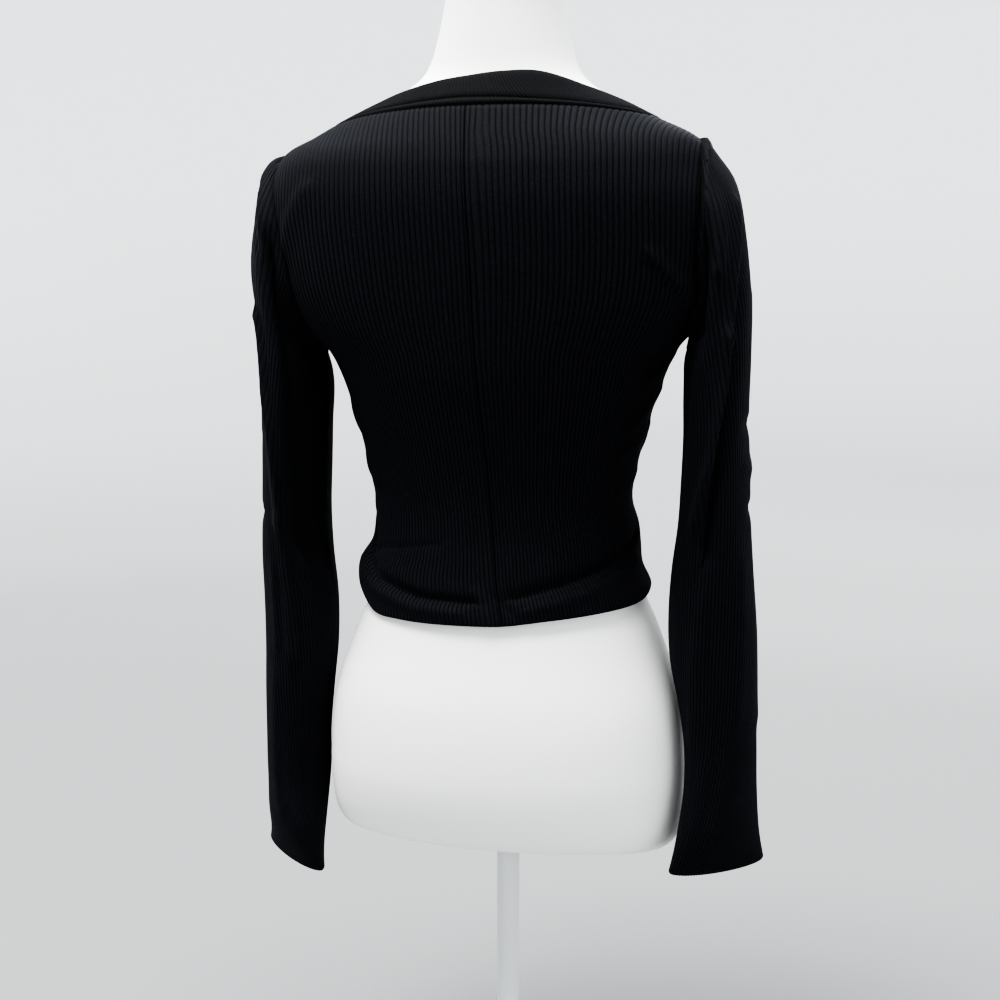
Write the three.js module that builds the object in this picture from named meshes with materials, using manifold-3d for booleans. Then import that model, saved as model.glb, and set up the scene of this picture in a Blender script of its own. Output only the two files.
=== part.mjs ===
// Long-sleeved crop top in rib knit, worn by a limbless dress form on a round stand.
// Millimetres. X points to the wearer's left, Y to the back and Z up.
// The origin is the centre of the stand's underside.
import * as THREE from 'three'
import { mergeVertices } from 'three/addons/utils/BufferGeometryUtils.js'
import Module from 'manifold-3d'

const wasm = await Module()
wasm.setup()

// Cloth
const clothWall = 1.4
const ribRise = 0.7
const seamGap = 0.3
const bandThickness = 2.2

// Radius at which a seam gap is turned into an angle, the smallest beside a seam of the body
const seamRadius = 75

// Ribs in each quarter of the body and round each sleeve; each rib has a crest and a groove
const ribsPerQuarter = 18
const ribsPerSleeve = 24
const pointsPerRib = 2
const bodyInnerStep = 4
const sleeveInnerStep = 2

// Stand
const baseRadius = 155
const baseThickness = 12
const baseEdgeRadius = 3
const poleRadius = 10
const flangeRadius = 24
const flangeHeight = 10
const collarRadius = 14
const collarHeight = 8
const standSides = 28

// Steps for measuring how the cloth slopes, and the distance within which points are one
const angleStep = 0.5
const heightStep = 1
const weldDistance = 1e-4

const black = 0x17181b
const coverWhite = 0xe6e6e0
const standWhite = 0xe9e9e6

// Outer face of the worn cloth, a rounded ring at each height.
// left, right, back and front are distances from the axis, middle is the Y of the sides,
// and power is the roundness: 2 is an ellipse, more is squarer.
const clothRings = [
  { z: 462, left: 126, right: 120, back: 94, front: 98, middle: -3, power: 2.2 },
  { z: 478, left: 126, right: 124, back: 93, front: 97, middle: -3, power: 2.2 },
  { z: 494, left: 130, right: 121.5, back: 89, front: 95, middle: -3, power: 2.2 },
  { z: 510, left: 129, right: 114, back: 85, front: 93, middle: -4, power: 2.2 },
  { z: 528, left: 118, right: 112, back: 82, front: 91, middle: -5, power: 2.2 },
  { z: 545, left: 115, right: 110, back: 80, front: 90, middle: -5, power: 2.2 },
  { z: 563, left: 114, right: 104.5, back: 80, front: 90, middle: -5, power: 2.2 },
  { z: 580, left: 117.5, right: 105, back: 81, front: 92, middle: -5, power: 2.2 },
  { z: 614, left: 124.5, right: 112.5, back: 87, front: 98, middle: -4, power: 2.2 },
  { z: 648, left: 133, right: 122, back: 95, front: 107, middle: -2, power: 2.25 },
  { z: 675, left: 141, right: 132, back: 102, front: 114, middle: 3, power: 2.3 },
  { z: 693, left: 149.5, right: 140, back: 105, front: 118, middle: 9, power: 2.35 },
  { z: 711, left: 167, right: 155.5, back: 107, front: 120, middle: 14, power: 2.4 },
  { z: 740, left: 183, right: 174, back: 110, front: 121, middle: 18, power: 2.45 },
  { z: 780, left: 191, right: 180, back: 113, front: 116, middle: 20, power: 2.5 },
  { z: 815, left: 193, right: 178, back: 114, front: 100, middle: 21, power: 2.5 },
  { z: 840, left: 187, right: 170, back: 111, front: 84, middle: 22, power: 2.45 },
  { z: 853, left: 176, right: 165, back: 107, front: 73, middle: 23, power: 2.4 },
  { z: 863, left: 156, right: 156.5, back: 103, front: 63, middle: 24, power: 2.3 },
  { z: 876, left: 132, right: 129, back: 97, front: 52, middle: 25, power: 2.2 },
  { z: 888, left: 107.5, right: 105, back: 91, front: 44, middle: 25, power: 2.15 },
  { z: 901, left: 88, right: 82, back: 84, front: 39, middle: 24, power: 2.1 },
  { z: 914, left: 69, right: 68, back: 77, front: 38, middle: 21, power: 2.1 },
  { z: 924, left: 63, right: 63, back: 73, front: 40, middle: 19, power: 2.1 },
]

// Lower and upper edge of the body panels and upper edge of the neckband, by angle.
// 0 is the centre back, 90 the wearer's left side, 180 the centre front.
const edgeHeights = [
  { angle: -180, hem: 480, neck: 800, bandTop: 826 },
  { angle: -155, hem: 483, neck: 810, bandTop: 836 },
  { angle: -130, hem: 487, neck: 852, bandTop: 873 },
  { angle: -108, hem: 493, neck: 873, bandTop: 887 },
  { angle: -90, hem: 491, neck: 877, bandTop: 891 },
  { angle: -72, hem: 487, neck: 880, bandTop: 901 },
  { angle: -45, hem: 484, neck: 884, bandTop: 911.5 },
  { angle: -20, hem: 480, neck: 885.5, bandTop: 911.5 },
  { angle: 0, hem: 475.5, neck: 885, bandTop: 908.5 },
  { angle: 20, hem: 474, neck: 883.5, bandTop: 905 },
  { angle: 45, hem: 473, neck: 880, bandTop: 897.5 },
  { angle: 62, hem: 474, neck: 876, bandTop: 890 },
  { angle: 80, hem: 490, neck: 871, bandTop: 884 },
  { angle: 92, hem: 499, neck: 869, bandTop: 883 },
  { angle: 108, hem: 497, neck: 864, bandTop: 880 },
  { angle: 130, hem: 489, neck: 843, bandTop: 867 },
  { angle: 155, hem: 482, neck: 809, bandTop: 835 },
  { angle: 180, hem: 480, neck: 800, bandTop: 826 },
]

// How far the centre back seam stands off the axis towards the wearer's left, because the
// garment sits a little turned on the form
const seamDrift = [
  { z: 462, drift: -16 },
  { z: 475, drift: -15 },
  { z: 515, drift: -8 },
  { z: 565, drift: -3 },
  { z: 690, drift: 4.5 },
  { z: 770, drift: 7 },
  { z: 845, drift: 10 },
  { z: 888, drift: 15.5 },
  { z: 924, drift: 17 },
]

// Shares of a panel's height at which it has a row of points, closer at hem and shoulder
const bodyRowShares = [
  0, 0.025, 0.055, 0.09, 0.14, 0.22, 0.33, 0.44, 0.535, 0.63, 0.73, 0.82, 0.89, 0.94, 0.973, 1,
]

// Soft creases of the body, each along a line from one angle and height to another.
// wide is the reach across the line; rise is plus for a ridge and minus for a trough.
const bodyFolds = [
  { angleA: 20, heightA: 494, angleB: 62, heightB: 500, wide: 7, rise: -2.2 },
  { angleA: 62, heightA: 500, angleB: 80, heightB: 526, wide: 7, rise: -2 },
  { angleA: -6, heightA: 497, angleB: -40, heightB: 518, wide: 7, rise: -2.2 },
  { angleA: -40, heightA: 518, angleB: -76, heightB: 533, wide: 7, rise: -1.8 },
  { angleA: -34, heightA: 792, angleB: -62, heightB: 744, wide: 9, rise: 2.4 },
  { angleA: -104, heightA: 520, angleB: -150, heightB: 502, wide: 7, rise: -2 },
  { angleA: 104, heightA: 522, angleB: 160, heightB: 500, wide: 7, rise: -2 },
  { angleA: 94, heightA: 652, angleB: 62, heightB: 624, wide: 9, rise: 2.2 },
  { angleA: 92, heightA: 612, angleB: 120, heightB: 592, wide: 8, rise: 1.8 },
  { angleA: -92, heightA: 660, angleB: -66, heightB: 632, wide: 9, rise: 2 },
  { angleA: -95, heightA: 618, angleB: -122, heightB: 600, wide: 8, rise: 1.8 },
  { angleA: 132, heightA: 790, angleB: 112, heightB: 742, wide: 9, rise: 2.2 },
  { angleA: -130, heightA: 792, angleB: -112, heightB: 746, wide: 9, rise: 2 },
]

// Armhole of each side: an ellipse seen from the side
const armholes = {
  left: { y: 20, z: 772, halfDeep: 52, halfHigh: 79 },
  right: { y: 20, z: 786, halfDeep: 52, halfHigh: 76 },
}
const armholeSegments = 32
const armholeCutStart = 100
const armholeCutLength = 140

// Sections of each sleeve from the armhole to the cuff. outX and outZ are the point away from
// the body, inX and inZ the point next to it, y the middle, deep half the size along Y, and
// turn the angle in degrees by which the section is turned about the upright axis, and follow
// the share of the armhole seam's own curve that the section still has.
const leftSleeveRings = [
  { outX: 191, outZ: 847, inX: 154, inZ: 690, y: 20, deep: 53, turn: 0, follow: 1 },
  { outX: 199.5, outZ: 828, inX: 154.5, inZ: 686, y: 20, deep: 53.5, turn: 0, follow: 0.8 },
  { outX: 205.5, outZ: 796, inX: 155, inZ: 681, y: 21, deep: 53, turn: 0, follow: 0.5 },
  { outX: 207.5, outZ: 763, inX: 153.5, inZ: 675, y: 22, deep: 51.5, turn: 0, follow: 0.25 },
  { outX: 205, outZ: 727, inX: 152, inZ: 667, y: 22, deep: 50, turn: 0, follow: 0.1 },
  { outX: 203, outZ: 690, inX: 151.5, inZ: 653, y: 22, deep: 49.5, turn: 0, follow: 0 },
  { outX: 203.5, outZ: 648, inX: 153.5, inZ: 627, y: 21, deep: 49, turn: 0, follow: 0 },
  { outX: 204, outZ: 600, inX: 155, inZ: 592, y: 20, deep: 48, turn: 0, follow: 0 },
  { outX: 207, outZ: 555, inX: 156.5, inZ: 553, y: 19, deep: 46, turn: 0, follow: 0 },
  { outX: 210.5, outZ: 515, inX: 155, inZ: 515, y: 18, deep: 44, turn: 0, follow: 0 },
  { outX: 211.5, outZ: 475, inX: 150.5, inZ: 475, y: 18, deep: 42, turn: 2, follow: 0 },
  { outX: 212, outZ: 435, inX: 150.5, inZ: 435, y: 18, deep: 41, turn: 6, follow: 0 },
  { outX: 213.5, outZ: 395, inX: 154.5, inZ: 395, y: 18, deep: 40, turn: 11, follow: 0 },
  { outX: 214.5, outZ: 355, inX: 158.5, inZ: 355, y: 17, deep: 39, turn: 16, follow: 0 },
  { outX: 215, outZ: 315, inX: 160, inZ: 315, y: 16, deep: 39, turn: 21, follow: 0 },
  { outX: 214, outZ: 275, inX: 167, inZ: 275, y: 15, deep: 47, turn: 32, follow: 0 },
  { outX: 204, outZ: 235, inX: 180.5, inZ: 235, y: 15, deep: 51, turn: 44, follow: 0 },
]
const rightSleeveRings = [
  { outX: 164, outZ: 860, inX: 157.5, inZ: 707, y: 20, deep: 53, turn: 0, follow: 0.85 },
  { outX: 173, outZ: 848, inX: 156.5, inZ: 703, y: 20, deep: 53.5, turn: 0, follow: 0.6 },
  { outX: 186, outZ: 830, inX: 154, inZ: 698, y: 21, deep: 53, turn: 0, follow: 0.4 },
  { outX: 194, outZ: 800, inX: 151.5, inZ: 691, y: 22, deep: 52, turn: 0, follow: 0.3 },
  { outX: 198.5, outZ: 768, inX: 150.5, inZ: 683, y: 22, deep: 51, turn: 0, follow: 0.2 },
  { outX: 202, outZ: 730, inX: 150.5, inZ: 672, y: 22, deep: 50, turn: 0, follow: 0.06 },
  { outX: 202.5, outZ: 690, inX: 150.5, inZ: 654, y: 22, deep: 49, turn: 0, follow: 0 },
  { outX: 202, outZ: 645, inX: 151, inZ: 625, y: 22, deep: 48, turn: 0, follow: 0 },
  { outX: 204, outZ: 600, inX: 150, inZ: 592, y: 22, deep: 47, turn: 0, follow: 0 },
  { outX: 206, outZ: 555, inX: 148, inZ: 553, y: 22, deep: 45, turn: 0, follow: 0 },
  { outX: 209, outZ: 515, inX: 143.5, inZ: 515, y: 22, deep: 42, turn: 0, follow: 0 },
  { outX: 212, outZ: 475, inX: 141.5, inZ: 475, y: 22, deep: 39, turn: 2, follow: 0 },
  { outX: 213.5, outZ: 438, inX: 143.5, inZ: 438, y: 21, deep: 38, turn: 6, follow: 0 },
  { outX: 213.5, outZ: 402, inX: 151.5, inZ: 402, y: 20, deep: 38.5, turn: 12, follow: 0 },
  { outX: 213.5, outZ: 366, inX: 159, inZ: 366, y: 21, deep: 39, turn: 20, follow: 0 },
  { outX: 212, outZ: 330, inX: 162.5, inZ: 330, y: 24, deep: 40, turn: 28, follow: 0 },
  { outX: 210, outZ: 296, inX: 163, inZ: 296, y: 28, deep: 42, turn: 38, follow: 0 },
  { outX: 202, outZ: 261, inX: 169.5, inZ: 261, y: 26, deep: 46, turn: 52, follow: 0 },
]

// Soft creases of the sleeves; angle 0 faces away from the body, 90 to the back
const leftSleeveFolds = [
  { angleA: 18, heightA: 716, angleB: 42, heightB: 600, wide: 9, rise: 3 },
  { angleA: 42, heightA: 600, angleB: 76, heightB: 465, wide: 9, rise: 3 },
  { angleA: 46, heightA: 700, angleB: 96, heightB: 500, wide: 9, rise: -3.5 },
  { angleA: 120, heightA: 560, angleB: 128, heightB: 430, wide: 9, rise: 2.5 },
  { angleA: -40, heightA: 720, angleB: -74, heightB: 520, wide: 10, rise: 3 },
  { angleA: -92, heightA: 660, angleB: -110, heightB: 450, wide: 10, rise: -3 },
]
const rightSleeveFolds = [
  { angleA: 24, heightA: 822, angleB: 66, heightB: 700, wide: 9, rise: 3 },
  { angleA: 66, heightA: 700, angleB: 116, heightB: 556, wide: 9, rise: 3 },
  { angleA: 38, heightA: 700, angleB: 84, heightB: 560, wide: 9, rise: -3.5 },
  { angleA: 84, heightA: 800, angleB: 120, heightB: 744, wide: 10, rise: -4 },
  { angleA: -36, heightA: 740, angleB: -80, heightB: 540, wide: 10, rise: 3 },
  { angleA: -98, heightA: 640, angleB: -86, heightB: 430, wide: 10, rise: -3 },
]
const sleeveFoldRadius = 38

// How far the sleeve runs straight out of its seam before it turns, at the underarm and at the cap
const underarmRise = 1.5
const capRise = 5

// Dress form, a rounded ring at each height
const formRings = [
  { z: 257.5, side: 122, back: 24, front: 32, power: 2.1 },
  { z: 263, side: 137, back: 41, front: 49, power: 2.15 },
  { z: 270, side: 146, back: 59, front: 66, power: 2.2 },
  { z: 279, side: 151, back: 78, front: 84, power: 2.25 },
  { z: 293, side: 153.5, back: 95, front: 97, power: 2.3 },
  { z: 312, side: 154.5, back: 107, front: 105, power: 2.3 },
  { z: 345, side: 154.5, back: 113, front: 106, power: 2.3 },
  { z: 400, side: 149, back: 109, front: 100, power: 2.25 },
  { z: 455, side: 130.5, back: 93, front: 92, power: 2.2 },
  { z: 500, side: 111, back: 80, front: 86, power: 2.2 },
  { z: 560, side: 99, back: 73, front: 83, power: 2.2 },
  { z: 615, side: 107, back: 80, front: 91, power: 2.2 },
  { z: 665, side: 123.5, back: 93, front: 105, power: 2.25 },
  { z: 710, side: 140, back: 101, front: 114, power: 2.3 },
  { z: 750, side: 151, back: 106, front: 116, power: 2.35 },
  { z: 800, side: 159, back: 109, front: 105, power: 2.4 },
  { z: 835, side: 159, back: 106.5, front: 83, power: 2.4 },
  { z: 850, side: 152, back: 102.5, front: 71, power: 2.35 },
  { z: 863, side: 143, back: 98, front: 58, power: 2.3 },
  { z: 876, side: 123, back: 92.5, front: 47, power: 2.2 },
  { z: 889, side: 98.5, back: 86, front: 38.5, power: 2.15 },
  { z: 901, side: 77.5, back: 79.5, front: 34.5, power: 2.1 },
  { z: 914, side: 63, back: 72.5, front: 34, power: 2.1 },
  { z: 938, side: 54, back: 68, front: 33, power: 2.1 },
  { z: 974, side: 47, back: 64, front: 34, power: 2.1 },
  { z: 1000, side: 45.5, back: 63, front: 35, power: 2.1 },
]
const formColumns = 36

const radians = (degrees) => degrees * Math.PI / 180
const withinHalfTurn = (angle) => (angle > 180 ? angle - 360 : angle)
const signedPower = (value, exponent) => Math.sign(value) * Math.abs(value) ** exponent

// Smooth value of one column of a table, read at a place along another column
function readTable(rows, along, name, place) {
  const last = rows.length - 1
  if (place <= rows[0][along]) return rows[0][name]
  if (place >= rows[last][along]) return rows[last][name]
  let index = 0
  while (rows[index + 1][along] < place) index += 1
  const slopeAt = (row) => {
    const before = rows[Math.max(row - 1, 0)]
    const after = rows[Math.min(row + 1, last)]
    return (after[name] - before[name]) / (after[along] - before[along])
  }
  const start = rows[index]
  const end = rows[index + 1]
  const step = end[along] - start[along]
  const t = (place - start[along]) / step
  const blend = t * t * (3 - 2 * t)
  return start[name] + (end[name] - start[name]) * blend
    + slopeAt(index) * step * t * (1 - t) * (1 - t)
    - slopeAt(index + 1) * step * t * t * (1 - t)
}

// Height of every crease together at a place on the cloth
function foldRise(folds, angle, height, radius) {
  let rise = 0
  for (const fold of folds) {
    const lineX = radians(fold.angleB - fold.angleA) * radius
    const lineZ = fold.heightB - fold.heightA
    const fromX = radians(angle - fold.angleA) * radius
    const fromZ = height - fold.heightA
    const share = (fromX * lineX + fromZ * lineZ) / (lineX * lineX + lineZ * lineZ)
    const along = Math.min(Math.max(share, 0), 1)
    const away = Math.hypot(fromX - along * lineX, fromZ - along * lineZ)
    rise += fold.rise * Math.exp(-((away / fold.wide) ** 2))
  }
  return rise
}

const bodyFoldRadius = 105

// Share of a piece's height by which its inner edge stays back from a curved seam
const innerEdgeShare = 0.004
const bandInnerEdgeShare = 0.06

// Shares of the neckband's height at which its outer face has a row of points, under the fold
const bandRowShares = [0, 0.5, 0.9]
const bandInnerStep = 2

// Point on the cloth's outer face, before ribs
function clothPoint(angle, z) {
  const ring = (name) => readTable(clothRings, 'z', name, z)
  const drift = readTable(seamDrift, 'z', 'drift', z)
  const seamTurn = Math.asin((Math.abs(drift) / ring('left')) ** (ring('power') / 2)) * Math.sign(drift)
  const turn = seamTurn * (1 + Math.cos(radians(angle))) / 2
  const across = Math.sin(radians(angle) + turn)
  const deep = Math.cos(radians(angle) + turn)
  const exponent = 2 / ring('power')
  const rise = foldRise(bodyFolds, angle, z, bodyFoldRadius)
  const halfX = (across > 0 ? ring('left') : ring('right')) + rise
  const halfY = (deep > 0 ? ring('back') - ring('middle') : ring('front') + ring('middle')) + rise
  return new THREE.Vector3(
    halfX * signedPower(across, exponent), ring('middle') + halfY * signedPower(deep, exponent), z)
}

// Point on the cloth moved out along the cloth's own normal
function clothPointOut(angle, z, out) {
  const point = clothPoint(angle, z)
  const beside = clothPoint(angle + angleStep, z).sub(clothPoint(angle - angleStep, z))
  const above = clothPoint(angle, z + heightStep).sub(clothPoint(angle, z - heightStep))
  const normal = above.cross(beside).normalize()
  return point.addScaledVector(normal, out)
}

// Side of the cloth's outer face at a depth and height, for the armhole seam
function clothSide(side, y, z) {
  const ring = (name) => readTable(clothRings, 'z', name, z)
  const deep = y > ring('middle')
    ? (y - ring('middle')) / (ring('back') - ring('middle'))
    : (ring('middle') - y) / (ring('front') + ring('middle'))
  return ring(side) * (1 - deep ** ring('power')) ** (1 / ring('power'))
}

// Closed geometry from points and faces
function solidFrom(points, faces) {
  const geometry = new THREE.BufferGeometry()
  const positions = new Float32Array(points.flatMap((point) => [point.x, point.y, point.z]))
  geometry.setAttribute('position', new THREE.BufferAttribute(positions, 3))
  geometry.setIndex(faces.flat())
  return geometry
}

// Faces between two rows of which the first has a whole number of steps for each step of the other
function stitch(fine, coarse, faces) {
  const step = (fine.length - 1) / (coarse.length - 1)
  for (let j = 0; j < coarse.length - 1; j++) {
    for (let i = 0; i < step; i++) {
      const near = i < step / 2 ? coarse[j] : coarse[j + 1]
      faces.push([fine[j * step + i], fine[j * step + i + 1], near])
    }
    faces.push([coarse[j], fine[j * step + Math.ceil(step / 2)], coarse[j + 1]])
  }
}

// Wall of cloth between a fine outer grid and a coarser inner one, both row by row.
// A closed wall joins its last column to its first.
function wallFrom(outerRows, innerRows, closed) {
  const points = []
  const faces = []
  const number = (rows) => rows.map((row) => {
    const start = points.length
    points.push(...row)
    const numbers = row.map((_, index) => start + index)
    if (closed) numbers.push(start)
    return numbers
  })
  const outer = number(outerRows)
  const inner = number(innerRows)
  const skin = (rows, outward) => {
    for (let r = 0; r < rows.length - 1; r++) {
      for (let c = 0; c < rows[r].length - 1; c++) {
        const [a, b, d, e] = [rows[r][c], rows[r][c + 1], rows[r + 1][c + 1], rows[r + 1][c]]
        if (outward) faces.push([a, b, d], [a, d, e])
        else faces.push([a, d, b], [a, e, d])
      }
    }
  }
  skin(outer, true)
  skin(inner, false)
  const lower = []
  stitch(outer[0], inner[0], lower)
  faces.push(...lower.map(([a, b, c]) => [b, a, c]))
  stitch(outer[outer.length - 1], inner[inner.length - 1], faces)
  if (!closed) {
    for (let r = 0; r < outer.length - 1; r++) {
      const [o, p, i, j] = [outer[r][0], outer[r + 1][0], inner[r][0], inner[r + 1][0]]
      faces.push([o, p, j], [o, j, i])
      const end = outer[r].length - 1
      const last = inner[r].length - 1
      const [q, s, k, m] = [outer[r][end], outer[r + 1][end], inner[r][last], inner[r + 1][last]]
      faces.push([q, m, s], [q, k, m])
    }
  }
  return solidFrom(points, faces)
}

// Body panel between two angles, its edges half a seam gap inside them
function bodyPanel(fromAngle, toAngle) {
  const quarters = (toAngle - fromAngle) / 90
  const columns = quarters * ribsPerQuarter * pointsPerRib
  const gapAngle = THREE.MathUtils.radToDeg(seamGap / 2 / seamRadius)
  const angleAt = (column) => {
    const angle = fromAngle + (toAngle - fromAngle) * column / columns
    if (column === 0) return angle + gapAngle
    if (column === columns) return angle - gapAngle
    return angle
  }
  const heightAt = (angle, share) => {
    const hem = readTable(edgeHeights, 'angle', 'hem', angle)
    const neck = readTable(edgeHeights, 'angle', 'neck', angle)
    return hem + (neck - hem) * share
  }
  const rowOf = (share, columnStep, outAt) => {
    const row = []
    for (let column = 0; column <= columns; column += columnStep) {
      const angle = withinHalfTurn(angleAt(column))
      row.push(clothPointOut(angle, heightAt(angle, share), outAt(column)))
    }
    return row
  }
  const ribAt = (column) => (column % pointsPerRib === 0 ? 0 : ribRise)
  const outerRows = bodyRowShares.map((share) => rowOf(share, 1, ribAt))
  const innerShares = bodyRowShares.map((share) => Math.min(share, 1 - innerEdgeShare))
  const innerRows = innerShares.map((share) => rowOf(share, bodyInnerStep, () => -clothWall))
  return wallFrom(outerRows.map(reverse), innerRows.map(reverse), false)
}

const reverse = (row) => [...row].reverse()

// Prism that cuts an armhole through a side of the body
function armholePrism(side) {
  const hole = armholes[side]
  const outline = new THREE.Shape()
  outline.absellipse(hole.y, hole.z, hole.halfDeep, hole.halfHigh, 0, 2 * Math.PI)
  const prism = new THREE.ExtrudeGeometry(outline, {
    depth: armholeCutLength, steps: 1, bevelEnabled: false, curveSegments: armholeSegments,
  })
  const upright = new THREE.Matrix4().set(
    0, 0, 1, 0,
    1, 0, 0, 0,
    0, 1, 0, 0,
    0, 0, 0, 1)
  prism.applyMatrix4(upright)
  const start = side === 'left' ? armholeCutStart : -armholeCutStart - armholeCutLength
  return prism.translate(start, 0, 0)
}

function toManifold(geometry) {
  const bare = geometry.clone()
  bare.deleteAttribute('normal')
  bare.deleteAttribute('uv')
  const merged = mergeVertices(bare, weldDistance)
  return new wasm.Manifold(new wasm.Mesh({
    numProp: 3,
    vertProperties: new Float32Array(merged.attributes.position.array),
    triVerts: new Uint32Array(merged.index.array),
  }))
}

function fromManifold(solid) {
  const mesh = solid.getMesh()
  const geometry = new THREE.BufferGeometry()
  geometry.setAttribute('position', new THREE.BufferAttribute(new Float32Array(mesh.vertProperties), 3))
  geometry.setIndex(new THREE.BufferAttribute(new Uint32Array(mesh.triVerts), 1))
  return geometry
}

function cutArmholes(geometry, sides) {
  let solid = toManifold(geometry)
  for (const side of sides) solid = solid.subtract(toManifold(armholePrism(side)))
  return fromManifold(solid)
}

// Sleeve: its first ring follows the armhole seam, the others its table
function sleeve(side, rings, folds) {
  const mirror = side === 'left' ? 1 : -1
  const hole = armholes[side]
  const columns = ribsPerSleeve * pointsPerRib
  const seamPoint = (angle, inset, outward) => {
    const y = hole.y + (hole.halfDeep - inset) * Math.sin(angle)
    const z = hole.z + (hole.halfHigh - inset) * Math.cos(angle)
    return new THREE.Vector3(clothSide(side, y, z) + outward, y, z)
  }
  const seamTop = seamPoint(0, 0, 0).x
  const seamLow = seamPoint(Math.PI, 0, 0).x
  const seamBulge = (angle) => {
    const flat = (seamTop + seamLow) / 2 + (seamTop - seamLow) / 2 * Math.cos(angle)
    return seamPoint(angle, 0, 0).x - flat
  }
  const ringPoint = (ring, angle, out) => {
    const halfX = (ring.outX - ring.inX) / 2
    const halfZ = (ring.outZ - ring.inZ) / 2
    const thin = Math.hypot(halfX, halfZ)
    const height = (ring.outZ + ring.inZ) / 2 + halfZ * Math.cos(angle)
    const rise = foldRise(folds, THREE.MathUtils.radToDeg(angle), height, sleeveFoldRadius) + out
    const point = new THREE.Vector3(
      halfX / thin * (thin + rise) * Math.cos(angle),
      (ring.deep + rise) * Math.sin(angle),
      halfZ / thin * (thin + rise) * Math.cos(angle))
    point.applyAxisAngle(new THREE.Vector3(0, 0, 1), radians(ring.turn * mirror))
    point.x += ring.follow * seamBulge(angle)
    return point.add(new THREE.Vector3((ring.outX + ring.inX) / 2, ring.y, (ring.outZ + ring.inZ) / 2))
  }
  const rowsOf = (columnStep, outAt, inset) => {
    const angles = []
    for (let column = 0; column < columns; column += columnStep) {
      const angle = radians(withinHalfTurn(360 * column / columns))
      angles.push({ angle, column })
    }
    const seam = angles.map(({ angle }) => seamPoint(angle, inset, 0))
    const collar = angles.map(({ angle }) => seamPoint(
      angle, inset, underarmRise + capRise * (1 + Math.cos(angle)) / 2))
    const lower = rings.map((ring) => angles.map(({ angle, column }) => ringPoint(ring, angle, outAt(column))))
    return [seam, collar, ...lower].map((row) => row.map((point) => point.setX(point.x * mirror)))
  }
  const ribAt = (column) => (column % pointsPerRib === 0 ? 0 : ribRise)
  const outer = rowsOf(1, ribAt, seamGap)
  const inner = rowsOf(sleeveInnerStep, () => -clothWall, seamGap + clothWall)
  const ordered = (rows) => rows.map((row) => (side === 'left' ? reverse(row) : row))
  return wallFrom(ordered(outer), ordered(inner), true)
}

// Neckband: a folded strip all round, its lower edge a seam gap above the panels
function neckband() {
  const columns = 4 * ribsPerQuarter * pointsPerRib
  const rowOf = (share, columnStep, outAt) => {
    const row = []
    for (let column = 0; column < columns; column += columnStep) {
      const angle = 360 * column / columns - 180
      const lower = readTable(edgeHeights, 'angle', 'neck', angle)
      const upper = readTable(edgeHeights, 'angle', 'bandTop', angle)
      const steep = clothPoint(angle, lower + heightStep).distanceTo(clothPoint(angle, lower)) / heightStep
      const start = lower + seamGap / steep
      row.push(clothPointOut(angle, start + (upper - start) * share, outAt(column)))
    }
    return row
  }
  const ribAt = (column) => (column % pointsPerRib === 0 ? 0 : ribRise)
  const outerRows = bandRowShares.map((share) => rowOf(share, 1, ribAt))
  const fold = rowOf(1, 1, () => -bandThickness / 2 + ribRise)
  const innerShares = [bandInnerEdgeShare, 1 - bandInnerEdgeShare]
  const innerRows = innerShares.map((share) => rowOf(share, bandInnerStep, () => ribRise - bandThickness))
  return wallFrom([...outerRows, fold].map(reverse), innerRows.map(reverse), true)
}

// Dress form: rounded rings closed by a flat underside and a flat neck top
function dressForm() {
  const points = []
  const faces = []
  for (const ring of formRings) {
    for (let column = 0; column < formColumns; column++) {
      const angle = 2 * Math.PI * column / formColumns
      const middle = (ring.back - ring.front) / 2
      const halfY = (ring.back + ring.front) / 2
      const exponent = 2 / ring.power
      points.push(new THREE.Vector3(
        ring.side * signedPower(Math.cos(angle), exponent),
        middle + halfY * signedPower(Math.sin(angle), exponent), ring.z))
    }
  }
  for (let r = 0; r < formRings.length - 1; r++) {
    for (let column = 0; column < formColumns; column++) {
      const next = (column + 1) % formColumns
      const [a, b] = [r * formColumns + column, r * formColumns + next]
      const [c, d] = [a + formColumns, b + formColumns]
      faces.push([a, b, d], [a, d, c])
    }
  }
  const top = (formRings.length - 1) * formColumns
  for (let column = 1; column < formColumns - 1; column++) {
    faces.push([0, column + 1, column])
    faces.push([top, top + column, top + column + 1])
  }
  return solidFrom(points, faces)
}

function lathe(profile) {
  const geometry = new THREE.LatheGeometry(profile.map(([x, z]) => new THREE.Vector2(x, z)), standSides)
  geometry.rotateX(Math.PI / 2)
  geometry.deleteAttribute('normal')
  geometry.deleteAttribute('uv')
  return mergeVertices(geometry, weldDistance)
}

// Pole: foot flange on the base, tube, and a collar under the form
function pole() {
  const bottom = baseThickness
  const top = formRings[0].z - seamGap
  return lathe([
    [0, bottom], [flangeRadius, bottom], [flangeRadius, bottom + flangeHeight / 2],
    [flangeRadius - flangeHeight / 2, bottom + flangeHeight], [poleRadius, bottom + flangeHeight],
    [poleRadius, top - collarHeight], [collarRadius, top - collarHeight], [collarRadius, top], [0, top],
  ])
}

function roundBase() {
  return lathe([
    [0, 0], [baseRadius - baseEdgeRadius, 0], [baseRadius, baseEdgeRadius],
    [baseRadius, baseThickness - seamGap - baseEdgeRadius],
    [baseRadius - baseEdgeRadius, baseThickness - seamGap], [0, baseThickness - seamGap],
  ])
}

const group = new THREE.Group()

function addPiece(name, geometry, color, roughness, metalness) {
  const mesh = new THREE.Mesh(geometry, new THREE.MeshStandardMaterial({ color, roughness, metalness }))
  mesh.name = name
  group.add(mesh)
}

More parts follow.
